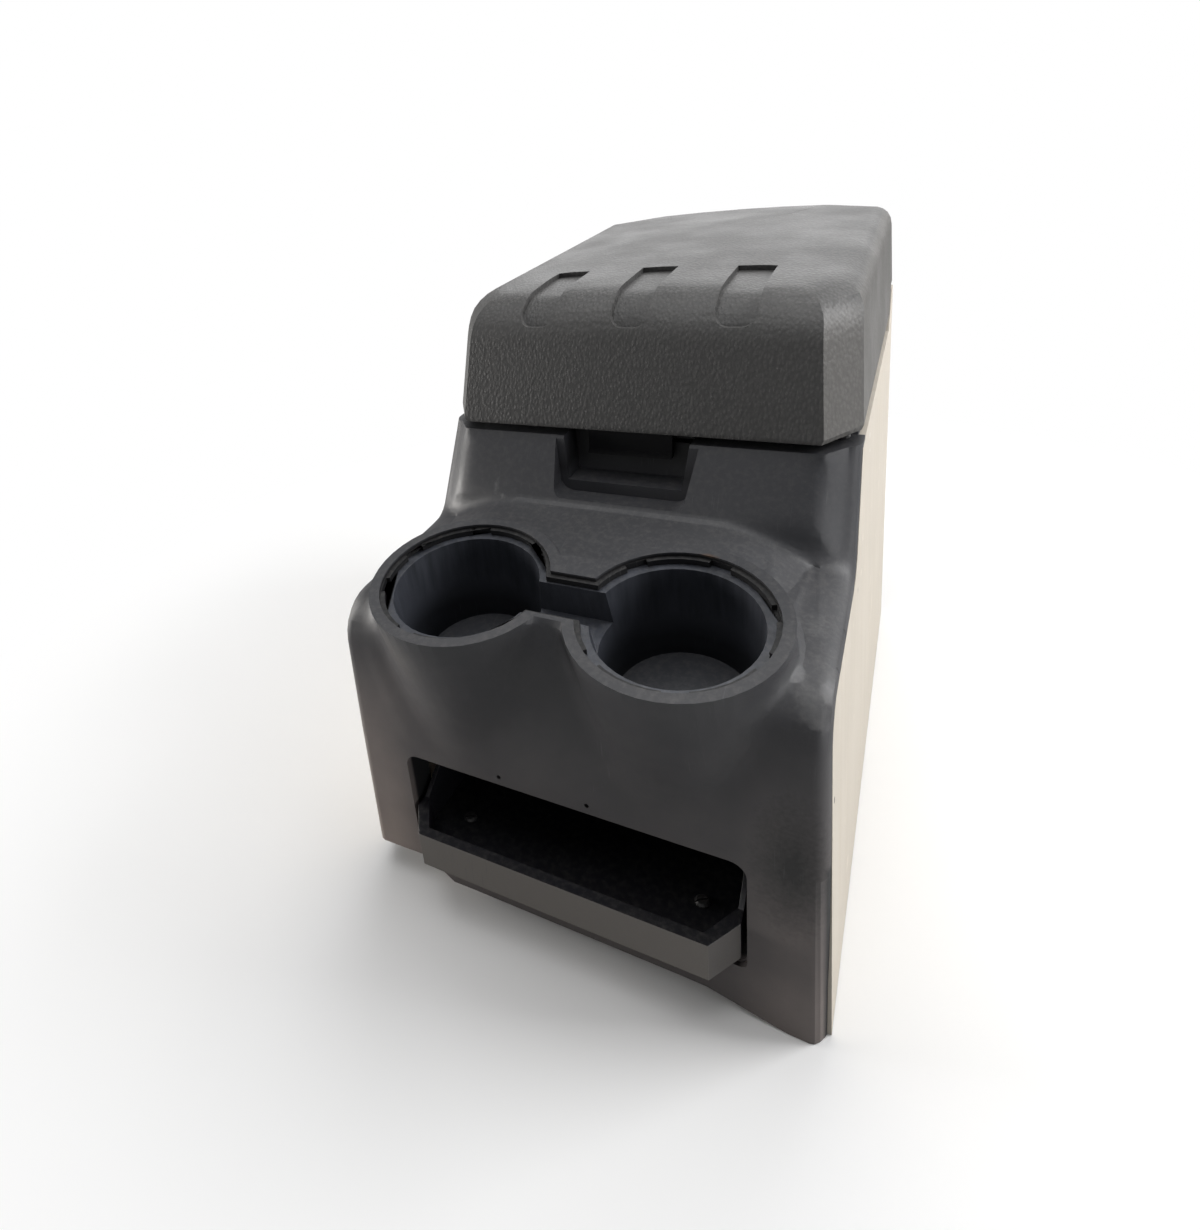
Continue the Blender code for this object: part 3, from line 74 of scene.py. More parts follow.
# %% Camera
IMAGE_WIDTH = 1200
IMAGE_HEIGHT = 1230
FOCAL_PIXELS = 783.551
AXIS_PIXEL = (458.794, 421.956)

camera_data = bpy.data.cameras.new("camera")
camera_data.sensor_width = 36.0
camera_data.lens = FOCAL_PIXELS * 36.0 / IMAGE_HEIGHT
camera_data.shift_x = (IMAGE_WIDTH / 2 - AXIS_PIXEL[0]) / IMAGE_HEIGHT
camera_data.shift_y = (AXIS_PIXEL[1] - IMAGE_HEIGHT / 2) / IMAGE_HEIGHT
camera_data.clip_start = 0.01
camera = bpy.data.objects.new("camera", camera_data)
bpy.context.scene.collection.objects.link(camera)

right = Vector((0.86098, 0.49294, -0.12541))
up = Vector((-0.06066, 0.34431, 0.93689))
back = Vector((0.50501, -0.79904, 0.32635))
turn = Matrix((right, up, back)).transposed().to_4x4()
camera.matrix_world = Matrix.Translation((0.16991, -0.58791, 0.4787)) @ turn
bpy.context.scene.camera = camera
print("lens in mm", round(camera_data.lens, 2))

# %% [markdown]
# ## Small helpers for materials
#
# A material is a tree of nodes. These helpers add a node, set its plain values and link it, so that
# each material below reads as a short list of what it does.

# %% Node helpers
def add_node(tree, kind, values=None, **settings):
    """Add a node, set its properties, then fill its inputs with numbers or links."""
    node = tree.nodes.new(kind)
    for key, value in settings.items():
        setattr(node, key, value)
    for key, value in (values or {}).items():
        socket = node.inputs[key]
        if isinstance(value, bpy.types.NodeSocket):
            tree.links.new(value, socket)
        else:
            socket.default_value = value
    return node


def mix_colour(tree, amount, first, second, blend="MIX"):
    """Mix two colours and return the result's socket."""
    node = tree.nodes.new("ShaderNodeMix")
    node.data_type = "RGBA"
    node.blend_type = blend
    for socket, value in ((node.inputs[0], amount), (node.inputs[6], first), (node.inputs[7], second)):
        if isinstance(value, bpy.types.NodeSocket):
            tree.links.new(value, socket)
        elif isinstance(value, (int, float)):
            socket.default_value = value
        else:
            socket.default_value = (*value, 1.0)
    return node.outputs[2]


def ramp(tree, value, low, high, out_low=0.0, out_high=1.0):
    """Turn the range low..high of a value into out_low..out_high."""
    node = add_node(
        tree,
        "ShaderNodeMapRange",
        {"Value": value, "From Min": low, "From Max": high, "To Min": out_low, "To Max": out_high},
    )
    return node.outputs["Result"]


def noise(tree, place, scale, detail, roughness=0.5):
    """Cloudy noise over a place; its outputs are a value, Fac, and three at once, Color."""
    values = {"Vector": place, "Scale": scale, "Detail": detail, "Roughness": roughness}
    return add_node(tree, "ShaderNodeTexNoise", values).outputs


def new_group(name, inputs, outputs):
    """Start a node group: inputs are (name, kind, start value), outputs are (name, kind)."""
    tree = bpy.data.node_groups.new(name, "ShaderNodeTree")
    for label, kind, value in inputs:
        socket = tree.interface.new_socket(label, in_out="INPUT", socket_type=kind)
        if value is not None:
            socket.default_value = value
    for label, kind in outputs:
        tree.interface.new_socket(label, in_out="OUTPUT", socket_type=kind)
    return tree, tree.nodes.new("NodeGroupInput"), tree.nodes.new("NodeGroupOutput")


FLOAT = "NodeSocketFloat"
COLOUR = "NodeSocketColor"
VECTOR = "NodeSocketVector"

# %% [markdown]
# ## Leather-like grain
#
# The lid is hard plastic, but its mould was etched with a leather pattern: small rounded cells with
# narrow valleys between them. Voronoi cells, bent a little by noise, give that. The group puts out a
# height, and each material decides how deep it is.

# %% Leather grain group
leather_tree, leather_in, leather_out = new_group(
    "leather grain",
    [("Place", VECTOR, None), ("Cells per Metre", FLOAT, 600.0)],
    [("Height", FLOAT)],
)
bend = noise(leather_tree, leather_in.outputs["Place"], 900.0, 2.0)["Color"]
shifted = add_node(
    leather_tree,
    "ShaderNodeVectorMath",
    {0: bend, 1: (0.0012, 0.0012, 0.0012), 2: leather_in.outputs["Place"]},
    operation="MULTIPLY_ADD",
)
stretched_place = add_node(
    leather_tree, "ShaderNodeMapping", {"Vector": shifted.outputs[0], "Scale": (1.0, 0.62, 0.62)}
)
cells = add_node(
    leather_tree,
    "ShaderNodeTexVoronoi",
    {
        "Vector": stretched_place.outputs[0],
        "Scale": leather_in.outputs["Cells per Metre"],
        "Smoothness": 0.5,
    },
    feature="SMOOTH_F1",
)
domes = ramp(leather_tree, cells.outputs["Distance"], 0.12, 0.70, 1.0, 0.0)
leather_tree.links.new(domes, leather_out.inputs["Height"])
print("group", leather_tree.name)

# %% [markdown]
# ## Fine mould grain
#
# The front moulding and the pale body have a much finer etch, which from a step away only breaks up
# the highlights. Noise at two sizes gives it.

# %% Fine grain group
grain_tree, grain_in, grain_out = new_group(
    "fine grain", [("Place", VECTOR, None), ("Grains per Metre", FLOAT, 2500.0)], [("Height", FLOAT)]
)
fine = noise(grain_tree, grain_in.outputs["Place"], grain_in.outputs["Grains per Metre"], 3.0, 0.6)
grain_tree.links.new(fine["Fac"], grain_out.inputs["Height"])
print("group", grain_tree.name)

# %% [markdown]
# ## Use and dust
#
# A used console has patches where hands polished the plastic, thin scratches and some dust on what
# faces up. The group returns three masks from 0 to 1.

# %% Wear group
wear_tree, wear_in, wear_out = new_group(
    "use and dust",
    [("Place", VECTOR, None)],
    [("Patches", FLOAT), ("Scratches", FLOAT), ("Dust", FLOAT)],
)
patches = noise(wear_tree, wear_in.outputs["Place"], 16.0, 5.0, 0.55)["Fac"]
wear_tree.links.new(ramp(wear_tree, patches, 0.38, 0.66), wear_out.inputs["Patches"])

stretched = add_node(
    wear_tree,
    "ShaderNodeMapping",
    {"Vector": wear_in.outputs["Place"], "Rotation": (0.4, 0.3, 0.7), "Scale": (1400.0, 60.0, 60.0)},
)
lines = noise(wear_tree, stretched.outputs[0], 1.0, 1.0)["Fac"]
few = noise(wear_tree, wear_in.outputs["Place"], 28.0, 2.0)["Fac"]
scratch = add_node(
    wear_tree,
    "ShaderNodeMath",
    {0: ramp(wear_tree, lines, 0.66, 0.74), 1: ramp(wear_tree, few, 0.52, 0.64)},
    operation="MULTIPLY",
)
wear_tree.links.new(scratch.outputs[0], wear_out.inputs["Scratches"])

facing = add_node(wear_tree, "ShaderNodeNewGeometry")
upward = add_node(wear_tree, "ShaderNodeSeparateXYZ", {"Vector": facing.outputs["Normal"]})
specks = noise(wear_tree, wear_in.outputs["Place"], 260.0, 4.0, 0.7)["Fac"]
dust = add_node(
    wear_tree,
    "ShaderNodeMath",
    {0: ramp(wear_tree, upward.outputs["Z"], 0.2, 0.95), 1: ramp(wear_tree, specks, 0.45, 0.75)},
    operation="MULTIPLY",
)
wear_tree.links.new(dust.outputs[0], wear_out.inputs["Dust"])
print("group", wear_tree.name)


# %% [markdown]
# ## Marks at their places
#
# Some tones belong to one spot: a scuff, a dark speck, the black ledge inside the cup rings, and also
# painted highlights and a painted shade. A mask is 1 inside such a place and fades to 0 around it. Spots
# are measured from a point, and a spot may be stretched along one direction to make a streak. Noise frays
# its edge.

# %% Spot masks
def combine(tree, first, second, kind="MINIMUM"):
    """Two values made one: the lesser of them, or what the kind says."""
    return add_node(tree, "ShaderNodeMath", {0: first, 1: second}, operation=kind).outputs[0]


def part_of(tree, mask, strength):
    """A mask that reaches only up to a strength."""
    return ramp(tree, mask, 0.0, 1.0, 0.0, strength)


def axis_of(tree, place, axis):
    return add_node(tree, "ShaderNodeSeparateXYZ", {"Vector": place}).outputs[axis]


def unsigned(tree, value):
    return add_node(tree, "ShaderNodeMath", {0: value}, operation="ABSOLUTE").outputs[0]


def facing_axis(tree, axis):
    """How far the surface faces along an axis, from -1 to 1."""
    return axis_of(tree, add_node(tree, "ShaderNodeNewGeometry").outputs["Normal"], axis)


def spot(tree, place, centre, radius, soft=0.5, stretch=(1.0, 1.0, 1.0), fray=0.0):
    """1 within a distance of the centre, 0 beyond it; stretch divides the distance along each axis."""
    moved = add_node(tree, "ShaderNodeVectorMath", {0: place, 1: centre}, operation="SUBTRACT").outputs[0]
    shaped = add_node(
        tree, "ShaderNodeVectorMath", {0: moved, 1: tuple(1.0 / s for s in stretch)}, operation="MULTIPLY"
    ).outputs[0]
    far = add_node(tree, "ShaderNodeVectorMath", {0: shaped}, operation="LENGTH").outputs["Value"]
    if fray:
        ragged = noise(tree, place, 400.0, 3.0)["Fac"]
        far = combine(tree, far, ramp(tree, ragged, 0.3, 0.7, 0.0, radius * fray), "ADD")
    return ramp(tree, far, radius * (1.0 - soft), radius, 1.0, 0.0)


def paint_spots(tree, place, tone, spots):
    """Lay each (centre, radius, soft, stretch, fray, colour, strength) over a tone."""
    for centre, radius, soft, stretch, fray, colour, strength in spots:
        mask = spot(tree, place, centre, radius, soft, stretch, fray)
        tone = mix_colour(tree, part_of(tree, mask, strength), tone, colour)
    return tone


# %% [markdown]
# ## The ledge inside the cup rings
#
# The trim insert that once sat in the two cup rings is missing. What remains is a stepped ledge, much
# blacker than the faded moulding around it. The mask works in the tilted plane of the rings: it measures
# the distance to each cup's axis and the depth below the rim.

# %% Ledge mask
RING_CENTRE = (0.0, -0.2347, 0.2327)
RING_TILT = math.radians(8.77)
RING_CUP_X = 0.0646
LEDGE_RADIUS = 0.0542
LEDGE_HALF = 0.0187


def ledge_mask(tree, place):
    """1 on the ledge round both cups and along the waist between them."""
    flat = add_node(
        tree,
        "ShaderNodeMapping",
        {"Vector": place, "Location": RING_CENTRE, "Rotation": (RING_TILT, 0.0, 0.0)},
        vector_type="TEXTURE",
    ).outputs[0]
    split = add_node(tree, "ShaderNodeSeparateXYZ", {"Vector": flat})
    side = unsigned(tree, split.outputs["X"])
    off_axis = combine(tree, side, RING_CUP_X, "SUBTRACT")
    across = add_node(
        tree, "ShaderNodeCombineXYZ", {"X": off_axis, "Y": split.outputs["Y"], "Z": 0.0}
    ).outputs[0]
    radius = add_node(tree, "ShaderNodeVectorMath", {0: across}, operation="LENGTH").outputs["Value"]
    in_cup = ramp(tree, radius, LEDGE_RADIUS - 0.0004, LEDGE_RADIUS, 1.0, 0.0)
    away = unsigned(tree, split.outputs["Y"])
    in_waist = combine(
        tree,
        ramp(tree, away, LEDGE_HALF - 0.0004, LEDGE_HALF, 1.0, 0.0),
        ramp(tree, side, RING_CUP_X - 0.0005, RING_CUP_X, 1.0, 0.0),
    )
    inside = combine(tree, in_cup, in_waist, "MAXIMUM")
    below = ramp(tree, split.outputs["Z"], -0.0014, -0.0008, 1.0, 0.0)
    above = ramp(tree, split.outputs["Z"], -0.0120, -0.0110)
    return combine(tree, inside, combine(tree, below, above))


# %% [markdown]
# ## A plastic
#
# Every moulding here is the same kind of thing: a coloured plastic whose tone and gloss wander a
# little, with a grain, patches, scratches and dust. One function builds it, and each plastic passes its
# own colours and depths. The grain's group is the only part that differs in kind.

# %% Plastic maker
DUST = (0.38, 0.36, 0.33)


def plastic(
    name, colour, worn, rough, grain, per_metre, depth,
    dust=0.10, patch=0.5, scratch=0.3, paint=None, shine=0.5,
):
    """A worn plastic; paint, where it is given, returns the tone changed at some places."""
    made = bpy.data.materials.new(name)
    made.use_nodes = True
    tree = made.node_tree
    shader = tree.nodes["Principled BSDF"]
    shader.inputs["Specular IOR Level"].default_value = shine
    place = add_node(tree, "ShaderNodeTexCoord").outputs["Object"]

    wear = add_node(tree, "ShaderNodeGroup", node_tree=wear_tree)
    tree.links.new(place, wear.inputs["Place"])
    relief = add_node(tree, "ShaderNodeGroup", node_tree=grain)
    tree.links.new(place, relief.inputs["Place"])
    relief.inputs[1].default_value = per_metre

    tone = mix_colour(tree, part_of(tree, wear.outputs["Patches"], patch), colour, worn)
    if paint:
        tone = paint(tree, place, tone)
    pale = tuple(min(1.0, c * 1.5 + 0.05) for c in worn)
    tone = mix_colour(tree, part_of(tree, wear.outputs["Scratches"], scratch), tone, pale)
    tone = mix_colour(tree, part_of(tree, wear.outputs["Dust"], dust), tone, DUST)
    valley = ramp(tree, relief.outputs["Height"], 0.0, 1.0, 0.82, 1.08)
    shade = add_node(tree, "ShaderNodeVectorMath", {0: tone, "Scale": valley}, operation="SCALE")
    tree.links.new(shade.outputs[0], shader.inputs["Base Color"])

    gloss = ramp(tree, wear.outputs["Patches"], 0.0, 1.0, rough + 0.05, rough - 0.06)
    tree.links.new(gloss, shader.inputs["Roughness"])
    bump = add_node(
        tree, "ShaderNodeBump", {"Height": relief.outputs["Height"], "Distance": depth, "Strength": 1.0}
    )
    tree.links.new(bump.outputs[0], shader.inputs["Normal"])
    return made


# %% [markdown]
# ## How the front moulding faded, and its painted light and shade
#
# Above, the front is a cool dark grey, with painted shade in a band under the lid. Below the cups it is
# warmer and paler, most at the outer lower corners and on the left: painted light from the lamps and the
# floor, together with some real fading. A painted shade darkens the wall right of the tray. The finger
# recess and the tray opening's inner edge are painted black as shade, and the ledge is black. A few streaks
# and specks are laid over, each at its own place; two streaks on the right flank and a spot on the left
# collar are painted highlights.

# %% Tone of the front moulding
STREAK_AND_HIGHLIGHT = (0.16, 0.16, 0.16)
BROWN = (0.10, 0.055, 0.03)
BLACK = (0.006, 0.006, 0.007)
PAINTED_HIGHLIGHT_GREY = (0.13, 0.12, 0.11)
PAINTED_SHADE = (0.010, 0.010, 0.010)
EVEN = (1.0, 1.0, 1.0)
TRAY_MOUTH_TOP = 0.120


def painted_recess_shade(tree, place):
    """Painted shade: the finger recess, from a little way behind the slope, and the faces inside the tray
    opening.
    """
    behind = add_node(
        tree, "ShaderNodeVectorMath", {0: place, 1: (0.0, 0.8095, -0.5871)}, operation="DOT_PRODUCT"
    ).outputs["Value"]
    deep = ramp(tree, behind, -0.2550, -0.2475)
    side = unsigned(tree, axis_of(tree, place, "X"))
    height = axis_of(tree, place, "Z")
    recess = combine(tree, deep, ramp(tree, side, 0.056, 0.058, 1.0, 0.0))
    recess = combine(tree, recess, ramp(tree, height, 0.2540, 0.2620))
    inward = combine(
        tree,
        ramp(tree, axis_of(tree, place, "Y"), -0.2655, -0.2630),
        ramp(tree, height, TRAY_MOUTH_TOP - 0.002, TRAY_MOUTH_TOP + 0.002, 1.0, 0.0),
    )
    return combine(tree, recess, inward, "MAXIMUM")


FRONT_SPOTS = [
    ((-0.0895, -0.1385, 0.2475), 0.0100, 0.9, (0.35, 1.0, 1.0), 0.5, STREAK_AND_HIGHLIGHT, 0.5),
    ((-0.0833, -0.1430, 0.2425), 0.0035, 0.8, (1.0, 1.0, 0.8), 0.5, STREAK_AND_HIGHLIGHT, 0.7),
    # Painted highlights: these two pale streaks on the right flank stand in for light along its ridge.
    ((0.1294, -0.2011, 0.2194), 0.0160, 0.9, (0.6, 1.3, 1.0), 0.6, STREAK_AND_HIGHLIGHT, 0.35),
    ((0.1346, -0.2549, 0.2109), 0.0140, 0.95, (0.7, 1.0, 1.2), 0.3, STREAK_AND_HIGHLIGHT, 0.45),
    ((0.0712, -0.1823, 0.2408), 0.0060, 0.8, (1.4, 0.5, 1.0), 0.4, BROWN, 0.7),
    # Painted shade: a dark patch on the wall right of the tray.
    ((0.1290, -0.2690, 0.1180), 0.0560, 0.8, (0.45, 1.0, 1.0), 0.2, PAINTED_SHADE, 0.95),
    # Painted highlight: a broad paler spot on the left collar, where the low left lamp falls.
    ((-0.0900, -0.2850, 0.2000), 0.0300, 1.0, EVEN, 0.3, PAINTED_HIGHLIGHT_GREY, 0.55),
    ((0.1431, -0.1921, 0.2123), 0.0014, 0.3, (1.0, 1.0, 2.0), 0.0, BLACK, 0.9),
    ((0.1429, -0.2256, 0.2120), 0.0012, 0.3, (1.0, 1.0, 2.0), 0.0, BLACK, 0.9),
]


def paint_front(tree, place, tone):
    """Cooler and darker above, with painted shade under the lid; warmer and paler towards the floor, at the
    outer lower corners and on the left, painted light with some real fading; painted shade in the recess
    and a black ledge in the rings.
    """
    height = axis_of(tree, place, "Z")
    # Painted light and real fading together: paler and warmer lower down, as a warm front light and the
    # floor's bounce light it.
    faded_and_lit = ramp(tree, height, 0.235, 0.10)
    tone = mix_colour(tree, faded_and_lit, tone, (1.80, 1.64, 1.50), "MULTIPLY")
    # Painted shade: a darker band just under the lid, where the lid shades the front.
    tone = mix_colour(tree, ramp(tree, height, 0.238, 0.262), tone, (0.80, 0.80, 0.82), "MULTIPLY")
    # Painted light: the outer lower corners are painted paler, as if they catch the lamps.
    side = unsigned(tree, axis_of(tree, place, "X"))
    outer = combine(tree, ramp(tree, side, 0.100, 0.128), ramp(tree, height, 0.200, 0.130))
    tone = mix_colour(tree, outer, tone, (1.75, 1.68, 1.60), "MULTIPLY")
    # Painted light: paler still close to the floor, as its bounce lights it.
    tone = mix_colour(tree, ramp(tree, height, 0.115, 0.03), tone, (1.5, 1.44, 1.38), "MULTIPLY")
    # Painted light: the lower left is painted paler, where the low left lamp falls.
    left = combine(
        tree, ramp(tree, axis_of(tree, place, "X"), -0.040, -0.115), ramp(tree, height, 0.215, 0.150)
    )
    tone = mix_colour(tree, left, tone, (1.80, 1.74, 1.68), "MULTIPLY")
    tone = paint_spots(tree, place, tone, FRONT_SPOTS)
    # Painted shade: the finger recess and the tray opening's inward faces are painted black.
    tone = mix_colour(tree, painted_recess_shade(tree, place), tone, BLACK)
    return mix_colour(tree, ledge_mask(tree, place), tone, BLACK)


# %% [markdown]
# ## How the other mouldings aged, and their painted light
#
# The pale body shows faint darker, yellower upright runs, two dark specks and two small white spots. The
# lid's right side is painted paler, a painted highlight. The tray is black, with painted light making it
# paler where it faces the front, and the cup wells have upright streaks near the rim, where cups went in
# and out, and a rubbed floor.

# %% Tone of the body, lid, tray and wells
WHITE_SPOT = (0.95, 0.95, 0.93)

PALE_SPOTS = [
    ((0.1443, -0.1191, 0.1949), 0.0022, 0.4, (1.0, 0.6, 1.4), 0.3, BLACK, 0.9),
    ((0.1454, -0.2497, 0.1524), 0.0019, 0.2, EVEN, 0.0, BLACK, 1.0),
    # Two small white spots on the pale side.
    ((0.1425, -0.0341, 0.2640), 0.0026, 0.5, EVEN, 0.2, WHITE_SPOT, 0.9),
    ((0.1428, -0.0315, 0.2521), 0.0020, 0.5, EVEN, 0.2, WHITE_SPOT, 0.9),
]


def upright_runs(tree, place, across, along, detail, roughness=0.5):
    """Noise drawn out upright: fine across and long along."""
    drawn = add_node(tree, "ShaderNodeMapping", {"Vector": place, "Scale": (across, across, along)})
    return noise(tree, drawn.outputs[0], 1.0, detail, roughness)["Fac"]


def paint_pale(tree, place, tone):
    """Faint upright runs, darker and yellower, a few dark specks and two white spots."""
    runs = upright_runs(tree, place, 90.0, 6.0, 3.0)
    tone = mix_colour(tree, ramp(tree, runs, 0.45, 0.75, 0.0, 0.35), tone, (0.60, 0.53, 0.42))
    return paint_spots(tree, place, tone, PALE_SPOTS)


def paint_lid(tree, place, tone):
    """Painted highlight: the lid's right side is paler than its top."""
    right_side = ramp(tree, axis_of(tree, place, "X"), 0.10, 0.12)
    # Painted highlight on the lid's faces that look right.
    rubbed_and_lit = combine(tree, ramp(tree, facing_axis(tree, "X"), 0.55, 0.85), right_side)
    return mix_colour(tree, rubbed_and_lit, tone, (1.75, 1.70, 1.62), "MULTIPLY")


def paint_tray(tree, place, tone):
    """Black inside and on top; painted light makes it paler where it faces the front."""
    # Painted light: faces that look forward are painted a paler warm grey.
    forward = ramp(tree, facing_axis(tree, "Y"), -0.35, -0.75)
    outside = combine(tree, forward, ramp(tree, axis_of(tree, place, "Y"), -0.2620, -0.2640))
    return mix_colour(tree, outside, tone, (0.160, 0.145, 0.130))


def paint_cups(tree, place, tone):
    """Upright rubbed streaks on the upper walls of the wells and a rubbed floor."""
    streaks = upright_runs(tree, place, 140.0, 16.0, 5.0, 0.65)
    height = axis_of(tree, place, "Z")
    rubbed_and_lit = combine(tree, ramp(tree, streaks, 0.30, 0.62, 0.35, 1.0), ramp(tree, height, 0.186, 0.206))
    tone = mix_colour(tree, rubbed_and_lit, tone, (0.062, 0.067, 0.082))
    base = combine(tree, ramp(tree, facing_axis(tree, "Z"), 0.85, 0.95), ramp(tree, height, 0.186, 0.180))
    return mix_colour(tree, part_of(tree, base, 0.8), tone, (0.050, 0.052, 0.060))


# %% [markdown]
# ## The plastics
#
# Each plastic gives its own tone, worn tone, roughness, grain and amount of wear. The parts inside are much
# darker than the front, and the latch hardly shines in its recess.

# %% Plastics
INK = (0.007, 0.008, 0.011)
WORN_INK = (0.024, 0.027, 0.033)
lid_finish = plastic(
    "lid plastic", (0.060, 0.059, 0.058), (0.070, 0.068, 0.067), 0.52, leather_tree, 520.0, 0.00020,
    paint=paint_lid,
)
front_finish = plastic(
    "front plastic", (0.036, 0.037, 0.042), (0.052, 0.052, 0.056), 0.50, grain_tree, 2600.0, 0.00006,
    paint=paint_front, shine=0.45,
)
black_finish = plastic("black plastic", INK, WORN_INK, 0.36, grain_tree, 2600.0, 0.00004, patch=0.7)
cup_finish = plastic(
    "cup plastic", INK, WORN_INK, 0.36, grain_tree, 2600.0, 0.00004, patch=0.7, paint=paint_cups
)
tray_finish = plastic(
    "tray plastic", (0.008, 0.008, 0.011), (0.020, 0.020, 0.026), 0.38, grain_tree, 2600.0, 0.00005,
    patch=0.7, paint=paint_tray,
)
pale_finish = plastic(
    "pale plastic", (0.70, 0.64, 0.555), (0.62, 0.56, 0.475), 0.55, grain_tree, 1800.0, 0.00006,
    patch=0.6, scratch=0.35, paint=paint_pale, shine=0.3,
)
latch_finish = plastic(
    "latch plastic", (0.004, 0.004, 0.005), (0.008, 0.008, 0.009), 0.6, grain_tree, 2600.0, 0.00004,
    dust=0.02, scratch=0.05, shine=0.15,
)
rubber_finish = plastic(
    "rubber", (0.020, 0.020, 0.020), (0.035, 0.034, 0.033), 0.80, grain_tree, 1500.0, 0.00008, dust=0.25
)
print("plastics made")

# %% [markdown]
# ## Plated steel
#
# Hinge, pins and screws are zinc plated steel: a metal with a dull, slightly patchy sheen.

# %% Steel
steel_finish = bpy.data.materials.new("plated steel")
steel_finish.use_nodes = True
steel_tree = steel_finish.node_tree
steel_shader = steel_tree.nodes["Principled BSDF"]
steel_shader.inputs["Metallic"].default_value = 1.0
steel_place = add_node(steel_tree, "ShaderNodeTexCoord").outputs["Object"]
spangle = noise(steel_tree, steel_place, 300.0, 4.0)["Fac"]
zinc_share = ramp(steel_tree, spangle, 0.35, 0.7)
steel_tone = mix_colour(steel_tree, zinc_share, (0.42, 0.42, 0.43), (0.62, 0.61, 0.60))
steel_tree.links.new(steel_tone, steel_shader.inputs["Base Color"])
steel_tree.links.new(ramp(steel_tree, spangle, 0.3, 0.7, 0.28, 0.48), steel_shader.inputs["Roughness"])

black_steel_finish = plastic(
    "black steel", (0.020, 0.020, 0.021), (0.040, 0.039, 0.038), 0.45, grain_tree, 2000.0, 0.00005, dust=0.2
)
print("steels made")

# %% [markdown]
# ## Which finish goes where
#
# The frame names a material for every piece. Six pieces look different from the rest of their material, so
# they get a finish of their own.

# %% Finishes
FINISHES = {
    "lid_plastic": lid_finish,
    "front_plastic": front_finish,
    "black_plastic": black_finish,
    "pale_plastic": pale_finish,
    "rubber": rubber_finish,
    "steel": steel_finish,
    "black_steel": black_steel_finish,
}
OWN_FINISH = {
    "lower_tray": tray_finish,
    "cup_tub": cup_finish,
    "latch_paddle": latch_finish,
    "lid_panel": latch_finish,
    "front_screw_left": black_steel_finish,
    "front_screw_right": black_steel_finish,
}

# %% [markdown]
# ## Rounded edges
#
# The frame's pieces have sharp edges, and no moulded edge is sharp. A copy of a piece's mesh gets its
# doubled points welded and its flat faces merged, then a Bevel modifier rounds the real edges and
# weighted normals keep the flats flat. The copy then stands in for the frame's piece. One thing to know:
# the modifier's clamp keeps a single limit for the whole piece, so its shortest edges hold the width
# back. The bin gets all of it, the tray, the paddle and the body a small part, and the front, the cups
# and the lid stay nearly sharp.

# %% Dressing the pieces
record = frame["record"]
slot_of = {part["node"]: part["material_slot"] for part in record["subparts"]}
body_of = {node: body for body, nodes in record["behaviour"]["bodies"].items() for node in nodes}
WELD = 0.00001
FLAT = 0.4
REAL_EDGE = 28.0


def dress(node, width, shape=None):
    """A copy of a node with its edges rounded as far as they allow and its finish, riding with its body."""
    source = frame["nodes"][node]
    mesh = source.data.copy()
    bm = bmesh.new()
    bm.from_mesh(mesh)
    bmesh.ops.remove_doubles(bm, verts=bm.verts, dist=WELD)
    bmesh.ops.dissolve_limit(bm, angle_limit=math.radians(FLAT), verts=bm.verts, edges=bm.edges)
    if shape:
        shape(bm)
    bm.to_mesh(mesh)
    bm.free()
    mesh.materials.clear()
    mesh.materials.append(OWN_FINISH.get(node, FINISHES[slot_of[node]]))
    for face in mesh.polygons:
        face.use_smooth = True
        face.material_index = 0
    piece = bpy.data.objects.new(node + "_rounded", mesh)
    bpy.context.scene.collection.objects.link(piece)
    rounding = piece.modifiers.new("rounding", "BEVEL")
    rounding.width = width
    rounding.segments = 2
    rounding.limit_method = "ANGLE"
    rounding.angle_limit = math.radians(REAL_EDGE)
    rounding.use_clamp_overlap = True
    rounding.miter_outer = "MITER_ARC"
    flats = piece.modifiers.new("flats", "WEIGHTED_NORMAL")
    flats.keep_sharp = True
    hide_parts(node)
    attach(piece, body_of[node])
    print(node, "rounding asked for, in mm", width * 1000)


# %% [markdown]
# ## A softer front
#
# The front moulding flows: the cup collars grow out of the wall like tilted barrels with a soft foot, and
# the slope under the lid runs into the shelf in one wide curve. The frame has these forms in a plainer
# way. Here the front skin is cut into small squares, each is moved to the smooth form, and the crease
# above the shelf is evened out.

# %% Where the front skin lies
COLLAR_RADIUS = 0.060
COLLAR_SLOPE = 0.140
NECK_HALF = 0.021
BLEND = 0.007
WALL_Y = -0.2690
ring_plane = Matrix.Translation(RING_CENTRE) @ Matrix.Rotation(RING_TILT, 4, "X")
to_ring = ring_plane.inverted()


def fade(value, start, length):
    """0 up to the start, then rising to 1 over the length."""
    return min(max((value - start) / length, 0.0), 1.0)


def smooth_least(a, b, reach):
    """The lesser of two distances, rounded off where they are nearly the same."""
    share = max(reach - abs(a - b), 0.0) / reach
    return min(a, b) - share * share * reach / 4


def collar_distance(point):
    """Distance outside the nearer collar, for a point in the rings' frame."""
    across = abs(point.x) - RING_CUP_X
    return math.hypot(across, point.y + COLLAR_SLOPE * point.z) - COLLAR_RADIUS


def front_distance(x, y, z):
    """Distance in front of the wall, the two collars and the neck between them."""
    wall = WALL_Y + 0.003 * fade(z, 0.120, 0.1025) - y
    point = to_ring @ Vector((x, y, z))
    depth = -point.z
    neck = (-NECK_HALF - 0.9 * depth - point.y) / 1.345
    wall = -smooth_least(-wall, -neck, 0.010)
    return smooth_least(wall, collar_distance(point), BLEND)


